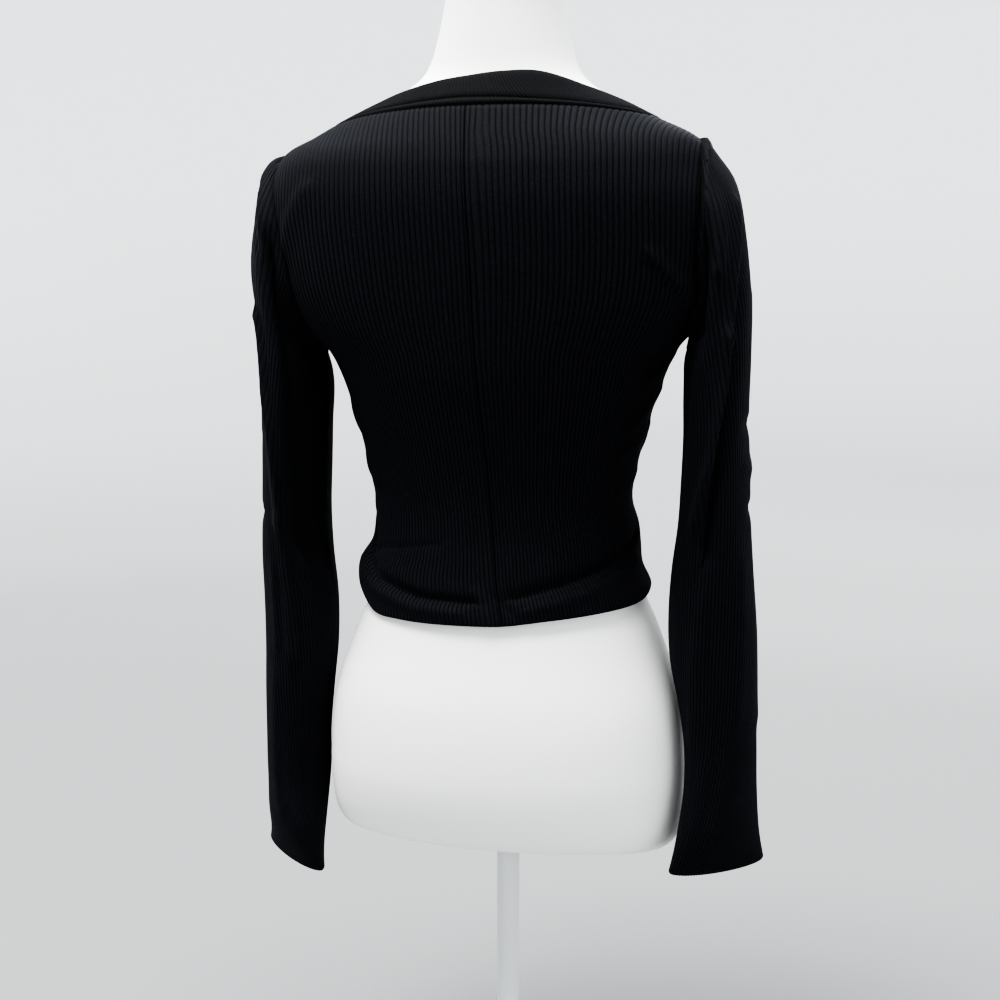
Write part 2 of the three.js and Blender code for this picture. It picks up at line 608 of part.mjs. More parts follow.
const clothRoughness = 0.9
const coverRoughness = 0.75
const paintRoughness = 0.4
addPiece('back_left', cutArmholes(bodyPanel(0, 90), ['left']), black, clothRoughness, 0)
addPiece('back_right', cutArmholes(bodyPanel(-90, 0), ['right']), black, clothRoughness, 0)
addPiece('front', cutArmholes(bodyPanel(90, 270), ['left', 'right']), black, clothRoughness, 0)
addPiece('sleeve_left', sleeve('left', leftSleeveRings, leftSleeveFolds), black, clothRoughness, 0)
addPiece('sleeve_right', sleeve('right', rightSleeveRings, rightSleeveFolds), black, clothRoughness, 0)
addPiece('neckband', neckband(), black, clothRoughness, 0)
addPiece('dress_form', dressForm(), coverWhite, coverRoughness, 0)
addPiece('pole', pole(), standWhite, paintRoughness, 0)
addPiece('base', roundBase(), standWhite, paintRoughness, 0)

export default group
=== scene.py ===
"""Looks of a long-sleeved rib-knit crop top worn by a limbless dress form.

Lengths in the tables are millimetres in the part's own frame: X to the wearer's left,
Y to the back and Z up from the stand's underside. Meshes are made in metres.
"""

import math

import bpy
import numpy as np
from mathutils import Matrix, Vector


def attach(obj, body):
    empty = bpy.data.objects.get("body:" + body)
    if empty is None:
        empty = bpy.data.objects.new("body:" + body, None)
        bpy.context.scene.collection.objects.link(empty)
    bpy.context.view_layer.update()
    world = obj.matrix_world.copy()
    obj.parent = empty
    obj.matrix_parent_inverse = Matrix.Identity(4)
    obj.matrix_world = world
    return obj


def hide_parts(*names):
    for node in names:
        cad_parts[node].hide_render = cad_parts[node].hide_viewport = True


MM = 0.001

# Cloth; SLEEVE_INSET is how far a sleeve's first row stands in from the panels' face
CLOTH_WALL = 1.4
THINNEST_CLOTH = 0.35
RIB_RISE = 0.75
SLEEVE_RIB_RISE = 0.6
SEAM_GAP = 0.3
SLEEVE_SEAM_GAP = 0.05
SLEEVE_INSET = 0.5
SIDE_GAP_DEGREES = 0.02

# How far the cloth dips at a seam or edge: reach and depth
HEM_DIP = (0.8, 0.9)
NECK_DIP = (1.6, 0.9)
INNER_DIP = (0.8, 0.3)
PANEL_SEAM_DIP = (1.0, 0.6)
ARMHOLE_DIP = (3.0, 0.7)
SLEEVE_SEAM_DIP = (2.2, 0.7)

# Neckband: how thick it is, how high its ribs and its whole face stand, and how its painted shade
# follows its height, scaled down to keep the whole band darker
BAND_THICKNESS = 2.2
BAND_RIB_RISE = 0.4
BAND_RISE = 0.6
BAND_SHADE_SCALE = 0.34
BAND_SEAM_DIP = (1.6, 1.6)
BAND_FOLD_DIP = (1.6, 0.5)
STITCH_DIP = (1.0, 0.9)

# Ribs in a quarter of the body, round a sleeve and round the neckband
BODY_RIBS = 52
SLEEVE_RIBS = 84
BAND_RIBS = 210

# Where the points of one rib stand across it, and how high: a flat crest and a narrow groove
RIB_PLACES = [0.0, 0.2, 0.46, 0.66, 0.83]
RIB_HEIGHTS = [0.8, 1.0, 1.0, 0.8, 0.0]
RIB_POINTS = len(RIB_PLACES)

# Painted shade of a wall's inner face, between 0 in a groove and 1 on a crest
INNER_FACE_SHADE = 0.6

BACK_ROWS = 190
FRONT_ROWS = 130
SLEEVE_ROWS = 150
SLEEVE_TURNS = 240
SLEEVE_ROW_SPACING = 4.2

# Distances of a surface's first rows from its edge, and where the even rows start
EDGE_ROWS = np.array([0, 0.5, 1.2, 2.4])
EVEN_FROM = 4


def columns(names, rows):
    """Table with named columns, each an array."""
    return dict(zip(names.split(), np.array(rows, float).T))


# Outer face of the worn cloth: a rounded ring at each height
CLOTH_RINGS = columns("z left right back front middle power", [
    (462, 126, 120, 94, 98, -3, 2.2),
    (478, 126, 124, 93, 97, -3, 2.2),
    (494, 130, 121.5, 89, 95, -3, 2.2),
    (510, 129, 114, 85, 93, -4, 2.2),
    (528, 118, 112, 82, 91, -5, 2.2),
    (545, 115, 110, 80, 90, -5, 2.2),
    (563, 114, 104.5, 80, 90, -5, 2.2),
    (580, 117.5, 105, 81, 92, -5, 2.2),
    (614, 124.5, 112.5, 87, 98, -4, 2.2),
    (648, 133, 122, 95, 107, -2, 2.25),
    (675, 141, 132, 102, 114, 3, 2.3),
    (693, 149.5, 140, 105, 118, 9, 2.35),
    (711, 167, 155.5, 107, 120, 14, 2.4),
    (740, 183, 174, 110, 121, 18, 2.45),
    (780, 191, 180, 113, 116, 20, 2.5),
    (815, 193, 178, 114, 100, 21, 2.5),
    (840, 187, 170, 111, 84, 22, 2.45),
    (853, 176, 165, 107, 73, 23, 2.4),
    (863, 156, 156.5, 103, 63, 24, 2.3),
    (876, 132, 129, 97, 52, 25, 2.2),
    (888, 107.5, 105, 91, 44, 25, 2.15),
    (901, 88, 82, 84, 39, 24, 2.1),
    (914, 69, 68, 77, 38, 21, 2.1),
    (924, 63, 63, 73, 40, 19, 2.1),
])

# Hem and neck edge of the panels and top of the neckband; angle 0 is the centre back and
# 90 the wearer's left
EDGES = columns("angle hem neck band_top", [
    (-180, 480, 800, 826),
    (-155, 483, 810, 836),
    (-130, 487, 852, 873),
    (-108, 493, 873, 887),
    (-90, 491, 877, 891),
    (-72, 487, 880, 901),
    (-45, 484, 884, 911.5),
    (-20, 480, 885.5, 911.5),
    (0, 475.5, 885, 908.5),
    (20, 474, 883.5, 905),
    (45, 473, 880, 897.5),
    (62, 474, 876, 890),
    (80, 490, 871, 884),
    (92, 499, 869, 883),
    (108, 497, 864, 880),
    (130, 489, 843, 867),
    (155, 482, 809, 835),
    (180, 480, 800, 826),
])

# How far the centre back seam stands towards the wearer's left
SEAM_DRIFT = columns("z drift", [
    (462, -16),
    (475, -15),
    (515, -8),
    (565, -3),
    (690, 4.5),
    (770, 7),
    (845, 11.5),
    (888, 15),
    (924, 17.5),
])

# Armhole of each side, an ellipse seen from the side
ARMHOLES = {
    "left": {"y": 20, "z": 772, "deep": 52, "high": 79},
    "right": {"y": 20, "z": 786, "deep": 52, "high": 76},
}

# Sections of each sleeve: the point away from the body, the point next to it, the middle,
# half the depth, the turn in degrees and the share of the armhole's curve that is left
LEFT_SLEEVE = columns("out_x out_z in_x in_z y deep turn follow", [
    (191.5, 848, 154, 690, 20, 53, 0, 1),
    (198, 828, 154.5, 686, 20, 53.5, 0, 0.8),
    (204, 796, 155, 681, 21, 53, 0, 0.5),
    (207.5, 763, 153.5, 675, 22, 51.5, 0, 0.25),
    (205, 727, 152, 667, 22, 50, 0, 0.1),
    (205, 690, 151.5, 653, 22, 49.5, 0, 0),
    (206.5, 648, 153.5, 627, 21, 49, 0, 0),
    (207.5, 600, 155, 592, 20, 48, 0, 0),
    (209.5, 555, 156.5, 553, 19, 46, 0, 0),
    (211.5, 515, 155, 515, 18, 44, 0, 0),
    (211.5, 475, 150.5, 475, 18, 42, 2, 0),
    (212, 435, 150.5, 435, 18, 41, 6, 0),
    (213.5, 395, 154.5, 395, 18, 40, 11, 0),
    (214.5, 355, 158.5, 355, 17, 39, 16, 0),
    (215, 315, 160, 315, 16, 39, 21, 0),
    (214, 275, 167, 275, 15, 47, 32, 0),
    (204, 235, 180.5, 235, 15, 51, 44, 0),
])
RIGHT_SLEEVE = columns("out_x out_z in_x in_z y deep turn follow", [
    (164, 860, 157.5, 707, 20, 53, 0, 0.85),
    (173, 848, 156.5, 703, 20, 53.5, 0, 0.6),
    (186, 830, 154, 698, 21, 53, 0, 0.4),
    (194, 800, 151.5, 691, 22, 52, 0, 0.3),
    (198.5, 768, 150.5, 683, 22, 51, 0, 0.2),
    (202, 730, 150.5, 672, 22, 50, 0, 0.06),
    (202.5, 690, 150.5, 654, 22, 49, 0, 0),
    (202, 645, 151, 625, 22, 48, 0, 0),
    (204, 600, 150, 592, 22, 47, 0, 0),
    (206, 555, 148, 553, 22, 45, 0, 0),
    (209, 515, 143.5, 515, 22, 42, 0, 0),
    (212, 475, 141.5, 475, 22, 39, 2, 0),
    (213.5, 438, 143.5, 438, 21, 38, 6, 0),
    (213.5, 402, 151.5, 402, 20, 38.5, 12, 0),
    (213.5, 366, 159, 366, 21, 39, 20, 0),
    (212, 330, 162.5, 330, 24, 40, 28, 0),
    (210, 296, 163, 296, 28, 42, 38, 0),
    (202, 261, 169.5, 261, 26, 46, 52, 0),
])

# Dress form: a rounded ring at each height
FORM_RINGS = columns("z side back front power", [
    (257.5, 122, 24, 32, 2.1),
    (263, 137, 41, 49, 2.15),
    (270, 146, 59, 66, 2.2),
    (279, 151, 78, 84, 2.25),
    (293, 153.5, 95, 97, 2.3),
    (312, 154.5, 107, 105, 2.3),
    (345, 154.5, 113, 106, 2.3),
    (400, 149, 109, 100, 2.25),
    (455, 130.5, 93, 92, 2.2),
    (500, 111, 80, 86, 2.2),
    (560, 99, 73, 83, 2.2),
    (615, 107, 80, 91, 2.2),
    (665, 123.5, 93, 105, 2.25),
    (710, 140, 101, 114, 2.3),
    (750, 151, 106, 116, 2.35),
    (800, 159, 109, 105, 2.4),
    (835, 159, 106.5, 83, 2.4),
    (850, 152, 102.5, 71, 2.35),
    (863, 143, 98, 58, 2.3),
    (876, 123, 92.5, 47, 2.2),
    (889, 98.5, 86, 38.5, 2.15),
    (901, 77.5, 79.5, 34.5, 2.1),
    (914, 63, 72.5, 34, 2.1),
    (938, 54, 68, 33, 2.1),
    (974, 47, 64, 34, 2.1),
    (1000, 45.5, 63, 35, 2.1),
])
FORM_COLUMNS = 144
FORM_ROWS = 170
FORM_SEAM_COLUMN = 4
FORM_SEAM_DEPTH = 0.5

# Creases: a line of places (angle, height), how far each reaches to the line's two sides and
# how high it stands; minus is a trough
BODY_FOLDS = [
    # Hem, left half of the back: a rolled edge under a sharp crease, and shorter creases over it
    ([(9, 491), (30, 492), (52, 502), (66, 520), (74, 540)], (6, 1.6), -4.4),
    ([(14, 485), (32, 486), (54, 496), (72, 516)], (2.6, 6), 2.4),
    ([(28, 496), (42, 502), (57, 513)], (3, 1.6), -1.5),
    ([(20, 537), (36, 532), (57, 525)], (4, 1.6), -1.6),
    # Hem, right half of the back
    ([(-6, 496), (-26, 506), (-46, 516), (-66, 525), (-84, 536)], (1.6, 7), -4.4),
    ([(-10, 490), (-30, 499), (-54, 509), (-78, 522)], (6, 2.6), 2.4),
    ([(2, 499), (-3, 487), (-6, 478)], (2, 3), -1.2),
    ([(6, 502), (5, 488), (4, 477)], (3, 2), 1.1),
    # Right shoulder blade, running into the underarm
    ([(-42, 771), (-51, 754), (-64, 735)], (1.6, 7), 2.4),
    ([(-42, 766), (-50, 750), (-61, 732)], (4, 1.6), -1.4),
    # Beside the left armhole
    ([(44, 822), (52, 800), (60, 778)], (6, 9), 1.6),
    # Waist, both sides, seen in the outline
    ([(94, 652), (78, 640), (62, 624)], (6, 9), 2.2),
    ([(88, 605), (74, 592), (58, 584)], (5, 8), 1.6),
    ([(92, 612), (106, 600), (120, 592)], (6, 9), 1.8),
    ([(86, 566), (72, 558), (52, 556)], (5, 7), 1.2),
    ([(-92, 690), (-80, 681), (-66, 668)], (5, 8), 1.7),
    ([(-92, 660), (-80, 648), (-66, 632)], (6, 9), 2),
    ([(-94, 630), (-82, 620), (-64, 612)], (5, 7), 1.5),
    ([(-95, 618), (-108, 606), (-122, 600)], (6, 9), 1.8),
    ([(-93, 590), (-80, 582), (-60, 578)], (5, 7), 1.3),
    # Front, like the back
    ([(-104, 520), (-126, 508), (-150, 502)], (6, 8), -2),
    ([(104, 522), (130, 507), (160, 500)], (6, 8), -2),
    ([(132, 790), (124, 768), (112, 742)], (6, 10), 2.2),
    ([(-130, 792), (-122, 770), (-112, 746)], (6, 10), 2),
    ([(112, 700), (126, 690), (146, 684)], (4, 9), 1.6),
    ([(-110, 706), (-128, 694), (-144, 690)], (4, 9), 1.5),
    ([(104, 640), (124, 626), (150, 622)], (5, 8), -1.6),
    ([(-106, 646), (-120, 634), (-142, 628)], (5, 8), -1.7),
    ([(118, 498), (142, 488), (166, 486)], (2.4, 6), 1.8),
    ([(-122, 500), (-144, 490), (-164, 488)], (6, 2.4), 1.8),
    ([(128, 566), (146, 556), (170, 553)], (5, 8), 1.1),
    ([(-124, 588), (-142, 578), (-160, 574)], (5, 8), 1.2),
]
LEFT_SLEEVE_FOLDS = [
    # Long ridge down the back of the sleeve, with a deep hollow between it and the body
    ([(50, 720), (63, 660), (76, 625), (84, 588), (93, 550)], (3, 7), 5.4),
    ([(93, 550), (99, 516), (96, 475), (93, 430)], (4, 8), 4),
    ([(74, 508), (70, 480), (66, 440)], (4, 6), 2.2),
    ([(92, 780), (104, 730), (114, 680), (122, 610), (130, 530)], (30, 12), -12),
    # Small upright folds in the head
    ([(54, 822), (66, 796), (78, 774)], (3, 5), 2.6),
    ([(70, 818), (82, 794), (92, 772)], (3, 4), -2.4),
    ([(38, 826), (50, 800), (60, 776)], (3, 4), -1.6),
    ([(84, 812), (92, 796), (100, 780)], (3, 4), 1.6),
    ([(20, 800), (34, 768), (48, 728)], (5, 9), 2),
    # Outer side and elbow
    ([(-44, 632), (-14, 618), (22, 622)], (4, 8), -2.4),
    ([(-58, 600), (-30, 588), (4, 586)], (4, 7), 1.9),
    ([(-20, 566), (10, 552), (38, 556)], (4, 8), -2),
    ([(-44, 790), (-40, 745), (-50, 700)], (6, 9), 1.6),
    # Front of the sleeve
    ([(-40, 720), (-56, 620), (-74, 520)], (8, 11), 3),
    ([(-92, 660), (-104, 560), (-110, 450)], (8, 11), -3),
    ([(-54, 812), (-70, 782), (-84, 752)], (4, 7), 2.4),
    ([(-20, 520), (-26, 450), (-24, 380)], (7, 10), 2),
    # Down to the cuff
    ([(60, 410), (48, 350), (40, 290)], (6, 9), 1.8),
    ([(120, 420), (112, 360), (100, 300)], (7, 9), -1.8),
]
RIGHT_SLEEVE_FOLDS = [
    # Ridge from the shoulder that turns down behind the underarm
    ([(44, 842), (54, 830), (66, 796), (78, 758)], (4, 7), 3.8),
    ([(84, 800), (92, 778), (108, 744), (116, 714)], (16, 6), -9),
    ([(60, 846), (74, 822), (84, 800)], (3, 4), -1.5),
    # Long ridge from the head across the back of the sleeve, with a trough outside it
    ([(28, 809), (44, 772), (53, 748), (64, 709)], (6, 4), 3.6),
    ([(64, 709), (70, 669), (79, 641), (91, 609), (104, 583), (112, 562)], (7, 4), 4.8),
    (
        [(14, 790), (44, 748), (56, 709), (60, 669), (69, 641), (82, 609), (95, 583), (100, 540)],
        (3, 11),
        -8,
    ),
    ([(112, 690), (124, 640), (136, 590)], (6, 9), 2),
    ([(96, 500), (104, 440), (108, 380)], (7, 9), 2.2),
    ([(40, 520), (44, 460), (40, 400)], (6, 9), 2),
    ([(70, 400), (66, 350), (58, 300)], (6, 8), -1.8),
    # Outer side and elbow
    ([(-50, 648), (-20, 636), (14, 640)], (4, 8), -2.2),
    ([(-36, 612), (-8, 600), (24, 604)], (4, 7), 1.8),
    ([(-60, 582), (-30, 566), (6, 570)], (4, 8), -2.2),
    ([(-36, 800), (-46, 752), (-40, 706)], (6, 9), 1.6),
    # Front of the sleeve
    ([(-36, 740), (-60, 640), (-80, 540)], (8, 11), 3),
    ([(-98, 640), (-94, 540), (-86, 430)], (8, 11), -3),
    ([(-50, 828), (-66, 796), (-80, 766)], (4, 7), 2.4),
    ([(-30, 540), (-24, 460), (-30, 390)], (7, 10), 2),
]
BODY_FOLD_RADIUS = 105
SLEEVE_FOLD_RADIUS = 38


def smooth(at, value, place):
    """Smooth curve through numbers or rows of points given along at, read at other places."""
    place = np.clip(place, at[0], at[-1])
    index = np.clip(np.searchsorted(at, place) - 1, 0, len(at) - 2)
    before = np.maximum(np.arange(len(at)) - 1, 0)
    after = np.minimum(np.arange(len(at)) + 1, len(at) - 1)
    widen = (...,) + (None,) * (value.ndim - 1)
    slope = (value[after] - value[before]) / (at[after] - at[before])[widen]
    step = (at[index + 1] - at[index])[widen]
    t = (place - at[index])[widen] / step
    blend = t * t * (3 - 2 * t)
    return (
        value[index]
        + (value[index + 1] - value[index]) * blend
        + slope[index] * step * t * (1 - t) * (1 - t)
        - slope[index + 1] * step * t * t * (1 - t)
    )


def read(table, along, name, place):
    """Smooth value of one column of a table at places along another column."""
    return smooth(table[along], table[name], place)


def ring(name, z):
    """One measure of the worn cloth's rings at a height."""
    return read(CLOTH_RINGS, "z", name, z)


def edge(name, angle):
    """Height of the hem, the neck edge or the neckband's top at an angle."""
    return read(EDGES, "angle", name, angle)


def distance_along(places):
    """Distance of each place from the first, along the line through them."""
    return np.concatenate([[0], np.cumsum(np.linalg.norm(np.diff(places, axis=0), axis=1))])


def dip(distance, wide, depth):
    return depth * np.exp(-((distance / wide) ** 2))


def fold_rise(folds, angle, height, radius):
    """Height of all creases together at places on the cloth."""
    total = np.zeros(np.broadcast(angle, height).shape)
    for line, reach, rise in folds:
        line = np.array(line, float)
        places = np.stack([np.radians(line[:, 0]) * radius, line[:, 1]], 1)
        nearest = np.full(total.shape, np.inf)
        side = np.zeros(total.shape)
        for start, end in zip(places[:-1], places[1:]):
            along = end - start
            from_x = np.radians(angle) * radius - start[0]
            from_z = height - start[1]
            share = np.clip((from_x * along[0] + from_z * along[1]) / (along @ along), 0, 1)
            away_x = from_x - share * along[0]
            away_z = from_z - share * along[1]
            away = np.hypot(away_x, away_z)
            closer = away < nearest
            side = np.where(closer, along[0] * away_z - along[1] * away_x, side)
            nearest = np.where(closer, away, nearest)
        wide = np.where(side > 0, reach[0], reach[1])
        total += dip(nearest, wide, rise)
    return total


def signed_power(value, exponent):
    return np.sign(value) * np.abs(value) ** exponent


def cloth_point(angle, z):
    """Points of the cloth's outer face, before ribs."""
    middle = ring("middle", z)
    power = ring("power", z)
    left = ring("left", z)
    right = ring("right", z)
    drift = read(SEAM_DRIFT, "z", "drift", z)
    seam_turn = np.arcsin((np.abs(drift) / left) ** (power / 2)) * np.sign(drift)
    turned = np.radians(angle) + seam_turn * (1 + np.cos(np.radians(angle))) / 2
    across = np.sin(turned)
    deep = np.cos(turned)
    rise = fold_rise(BODY_FOLDS, angle, z, BODY_FOLD_RADIUS)
    half_x = np.where(across > 0, left, right) + rise
    back = ring("back", z) - middle
    front = ring("front", z) + middle
    half_y = np.where(deep > 0, back, front) + rise
    return np.stack(
        [
            half_x * signed_power(across, 2 / power),
            middle + half_y * signed_power(deep, 2 / power),
            np.broadcast_to(z, half_x.shape),
        ],
        -1,
    )


def unit(vectors):
    return vectors / np.maximum(np.linalg.norm(vectors, axis=-1, keepdims=True), 1e-9)


def cloth_normal(angle, z):
    """Outward direction of the cloth at places on it."""
    beside = cloth_point(angle + 0.5, z) - cloth_point(angle - 0.5, z)
    above = cloth_point(angle, z + 1) - cloth_point(angle, z - 1)
    return unit(np.cross(above, beside))


def signed_volume(points, faces):
    total = 0.0
    sizes = {len(face) for face in faces}
    for size in sizes:
        same = np.array([face for face in faces if len(face) == size])
        for k in range(1, size - 1):
            a, b, c = points[same[:, 0]], points[same[:, k]], points[same[:, k + 1]]
            total += float((a * np.cross(b, c)).sum()) / 6
    return total


SHARP_DEGREES = 70


def add_mesh(name, points, faces, sharp_degrees=SHARP_DEGREES):
    """Mesh object from points in millimetres, its faces turned outward."""
    faces = [list(face) for face in faces]
    if signed_volume(points, faces) < 0:
        faces = [face[::-1] for face in faces]
    mesh = bpy.data.meshes.new(name)
    mesh.from_pydata((points * MM).tolist(), [], faces)
    mesh.shade_smooth()
    mesh.set_sharp_from_angle(angle=math.radians(sharp_degrees))
    mesh.update()
    piece = bpy.data.objects.new(name, mesh)
    bpy.context.scene.collection.objects.link(piece)
    return piece


def quads(rows, wide, closed, start=0, outward=True):
    """Faces between neighbours in a grid of points that are numbered row by row."""
    across = np.arange(wide if closed else wide - 1)
    row, column = np.meshgrid(np.arange(rows - 1), across, indexing="ij")
    a = start + row * wide + column
    b = start + row * wide + (column + 1) % wide
    order = [a, b, b + wide, a + wide] if outward else [a, a + wide, b + wide, b]
    return np.stack(order, -1).reshape(-1, 4).tolist()


def wall_of_cloth(name, outer, inner, shade_from_height, closed):
    """Wall between an outer grid of points and an inner one with one column to each rib.

    The fourth argument is how high each outer point stands in its rib, from 0 in a groove or seam to 1;
    it is stored on the mesh as painted shade that darkens grooves and seams.
    """
    rows, wide = outer.shape[:2]
    narrow = inner.shape[1]
    ribs = narrow if closed else narrow - 1
    first_inner = rows * wide
    points = np.concatenate([outer.reshape(-1, 3), inner.reshape(-1, 3)])
    faces = quads(rows, wide, closed) + quads(rows, narrow, closed, first_inner, False)
    for row, upward in ((0, False), (rows - 1, True)):
        for rib in range(ribs):
            fine = [row * wide + (rib * RIB_POINTS + k) % wide for k in range(RIB_POINTS + 1)]
            inside = first_inner + row * narrow
            face = fine + [inside + (rib + 1) % narrow, inside + rib]
            faces.append(face if upward else face[::-1])
    if not closed:
        for row in range(rows - 1):
            o, p = row * wide, (row + 1) * wide
            i, j = first_inner + row * narrow, first_inner + (row + 1) * narrow
            faces.append([o, p, j, i])
            o, p = o + wide - 1, p + wide - 1
            i, j = i + narrow - 1, j + narrow - 1
            faces.append([p, o, i, j])
    piece = add_mesh(name, points, faces)
    # Painted shade stored on the mesh for the material: outer points by their height in the rib, so
    # grooves, seams and edges come out darker, and the inner face at one fixed shade
    painted_rib_shade = np.full(len(points), INNER_FACE_SHADE)
    painted_rib_shade[:first_inner] = np.clip(shade_from_height, 0, 1).ravel()
    shade = piece.data.attributes.new("painted_rib_shade", "FLOAT", "POINT")
    shade.data.foreach_set("value", painted_rib_shade.astype(np.float32))
    return piece


def rib_columns(ribs, closed):
    """Place of each column, counted in ribs, and how high it stands in the rib."""
    places = (np.arange(ribs)[:, None] + np.array(RIB_PLACES)).ravel()
    heights = np.tile(np.array(RIB_HEIGHTS), ribs)
    if closed:
        return places, heights
    return np.append(places, ribs), np.append(heights, RIB_HEIGHTS[0])


# Heights above which the ribs run straight up, where the body is widest
STRAIGHT_ABOVE = {"left": 806.0, "right": 786.0}

# Levels and turns at which the arc length round the body is worked out
RING_LEVELS = np.linspace(460, 925, 94)
QUARTER = np.radians(45 * (1 - np.cos(np.linspace(0, math.pi, 181))))


def quarter_shares(side, face):
    """How far round its quarter each ring has come at each turn, as a share of the arc."""
    middle = ring("middle", RING_LEVELS)[:, None]
    power = ring("power", RING_LEVELS)[:, None]
    half_x = ring(side, RING_LEVELS)[:, None]
    reach = ring(face, RING_LEVELS)[:, None]
    half_y = reach - middle if face == "back" else reach + middle
    x = half_x * np.sin(QUARTER) ** (2 / power)
    y = half_y * np.cos(QUARTER) ** (2 / power)
    arc = np.cumsum(np.hypot(np.diff(x, axis=1), np.diff(y, axis=1)), axis=1)
    arc = np.concatenate([np.zeros((len(arc), 1)), arc], axis=1)
    return arc / arc[:, -1:]


QUARTER_SHARES = {
    (side, face): quarter_shares(side, face) for side in ("left", "right") for face in ("back", "front")
}


def rib_angle(rib_place, z):
    """Angle at which a rib stands at a height. Ribs are evenly spaced round each ring, and up
    from the widest ring each keeps its X."""
    side = "left" if rib_place >= 0 else "right"
    straight = STRAIGHT_ABOVE[side]
    to_front = abs(rib_place) > 90
    share = (180 - abs(rib_place) if to_front else abs(rib_place)) / 90
    shares = QUARTER_SHARES[side, "front" if to_front else "back"]
    turns = np.degrees([np.interp(share, row, QUARTER) for row in shares])
    local = np.interp(np.minimum(z, straight), RING_LEVELS, turns)
    at_widest = math.radians(float(np.interp(straight, RING_LEVELS, turns)))
    level = np.maximum(z, straight)
    power = ring("power", level)
    half = ring(side, level)
    start_power = ring("power", np.array(straight))
    start_half = ring(side, np.array(straight))
    across = start_half * math.sin(at_widest) ** (2 / start_power)
    ratio = (across / half) ** (power / 2)
    turned = np.where(z > straight, np.degrees(np.arcsin(np.clip(ratio, 0, 1))), local)
    turned = np.clip(turned, 0, 90 - SIDE_GAP_DEGREES)
    angle = 180 - turned if to_front else turned
    return (angle if rib_place >= 0 else -angle), ratio


# Below this height no rib can reach the shoulder seam
SHOULDER_FROM = 820

# Step of the search for a rib's upper end, and points along a rib and along the edge beyond it
SEARCH_STEP = 0.25
PATH_POINTS = 420
EDGE_POINTS = 60


# The centre front's own rib, kept just on the wearer's left
CENTRE_FRONT = 179.999


def rib_path(rib_place):
    """Angles and heights along one rib from the hem up, and whether it ends on the shoulder seam."""
    hem = float(edge("hem", np.array(float(rib_place))))
    z = np.arange(hem, CLOTH_RINGS["z"][-1], SEARCH_STEP)
    angle, ratio = rib_angle(rib_place, z)
    on_neck = z > edge("neck", angle)
    on_shoulder = (ratio >= 1) & (z > SHOULDER_FROM)
    above = on_neck | on_shoulder
    last = int(np.argmax(above)) if above.any() else len(z) - 1
    share = np.linspace(0, 1, PATH_POINTS)
    z = hem + (z[last] - hem) * (1 - (1 - share) ** 2)
    return rib_angle(rib_place, z)[0], z, bool(on_shoulder[last] and not on_neck[last])


def on_to_shoulder(angle, z):
    """The same path, led on along the neck edge to the shoulder seam."""
    more = np.linspace(angle[-1], math.copysign(90, angle[-1]), EDGE_POINTS)[1:]
    return np.concatenate([angle, more]), np.concatenate([z, edge("neck", more)])


def panel_rows(angle, z, rows, corner):
    """Angles, heights and distances from the hem of a panel's rows along one path.

    A path that turns onto the neck edge has a row at that corner, given by its index.
    """
    length = distance_along(cloth_point(angle, z))
    stations = edge_to_edge(length[-1], rows - 2 * len(EDGE_ROWS))
    if corner is not None:
        stations[np.argmin(np.abs(stations - length[corner]))] = length[corner]
    return np.interp(stations, length, angle), np.interp(stations, length, z), stations, length[-1]


def edge_to_edge(length, count):
    """Distances of a surface's rows: close together at both edges, with even ones between."""
    even = np.linspace(EVEN_FROM, length - EVEN_FROM, count)
    return np.concatenate([EDGE_ROWS, even, length - EDGE_ROWS[::-1]])


FAR_AWAY = 1e3


def armhole_distance(points):
    """Distance outside the nearer armhole's edge, seen from the side."""
    nearest = np.full(points.shape[:-1], FAR_AWAY)
    for side, hole in ARMHOLES.items():
        on_side = points[..., 0] > 0 if side == "left" else points[..., 0] < 0
        reach = np.hypot(
            (points[..., 1] - hole["y"]) / hole["deep"], (points[..., 2] - hole["z"]) / hole["high"]
        )
        away = (reach - 1) * min(hole["deep"], hole["high"])
        nearest = np.where(on_side, away, nearest)
    return nearest


def row_distance(points):
    """Distance along each row from its first and from its last point."""
    steps = np.linalg.norm(np.diff(points, axis=1), axis=2)
    start = np.concatenate([np.zeros((len(points), 1)), np.cumsum(steps, axis=1)], axis=1)
    return start, start[:, -1:] - start


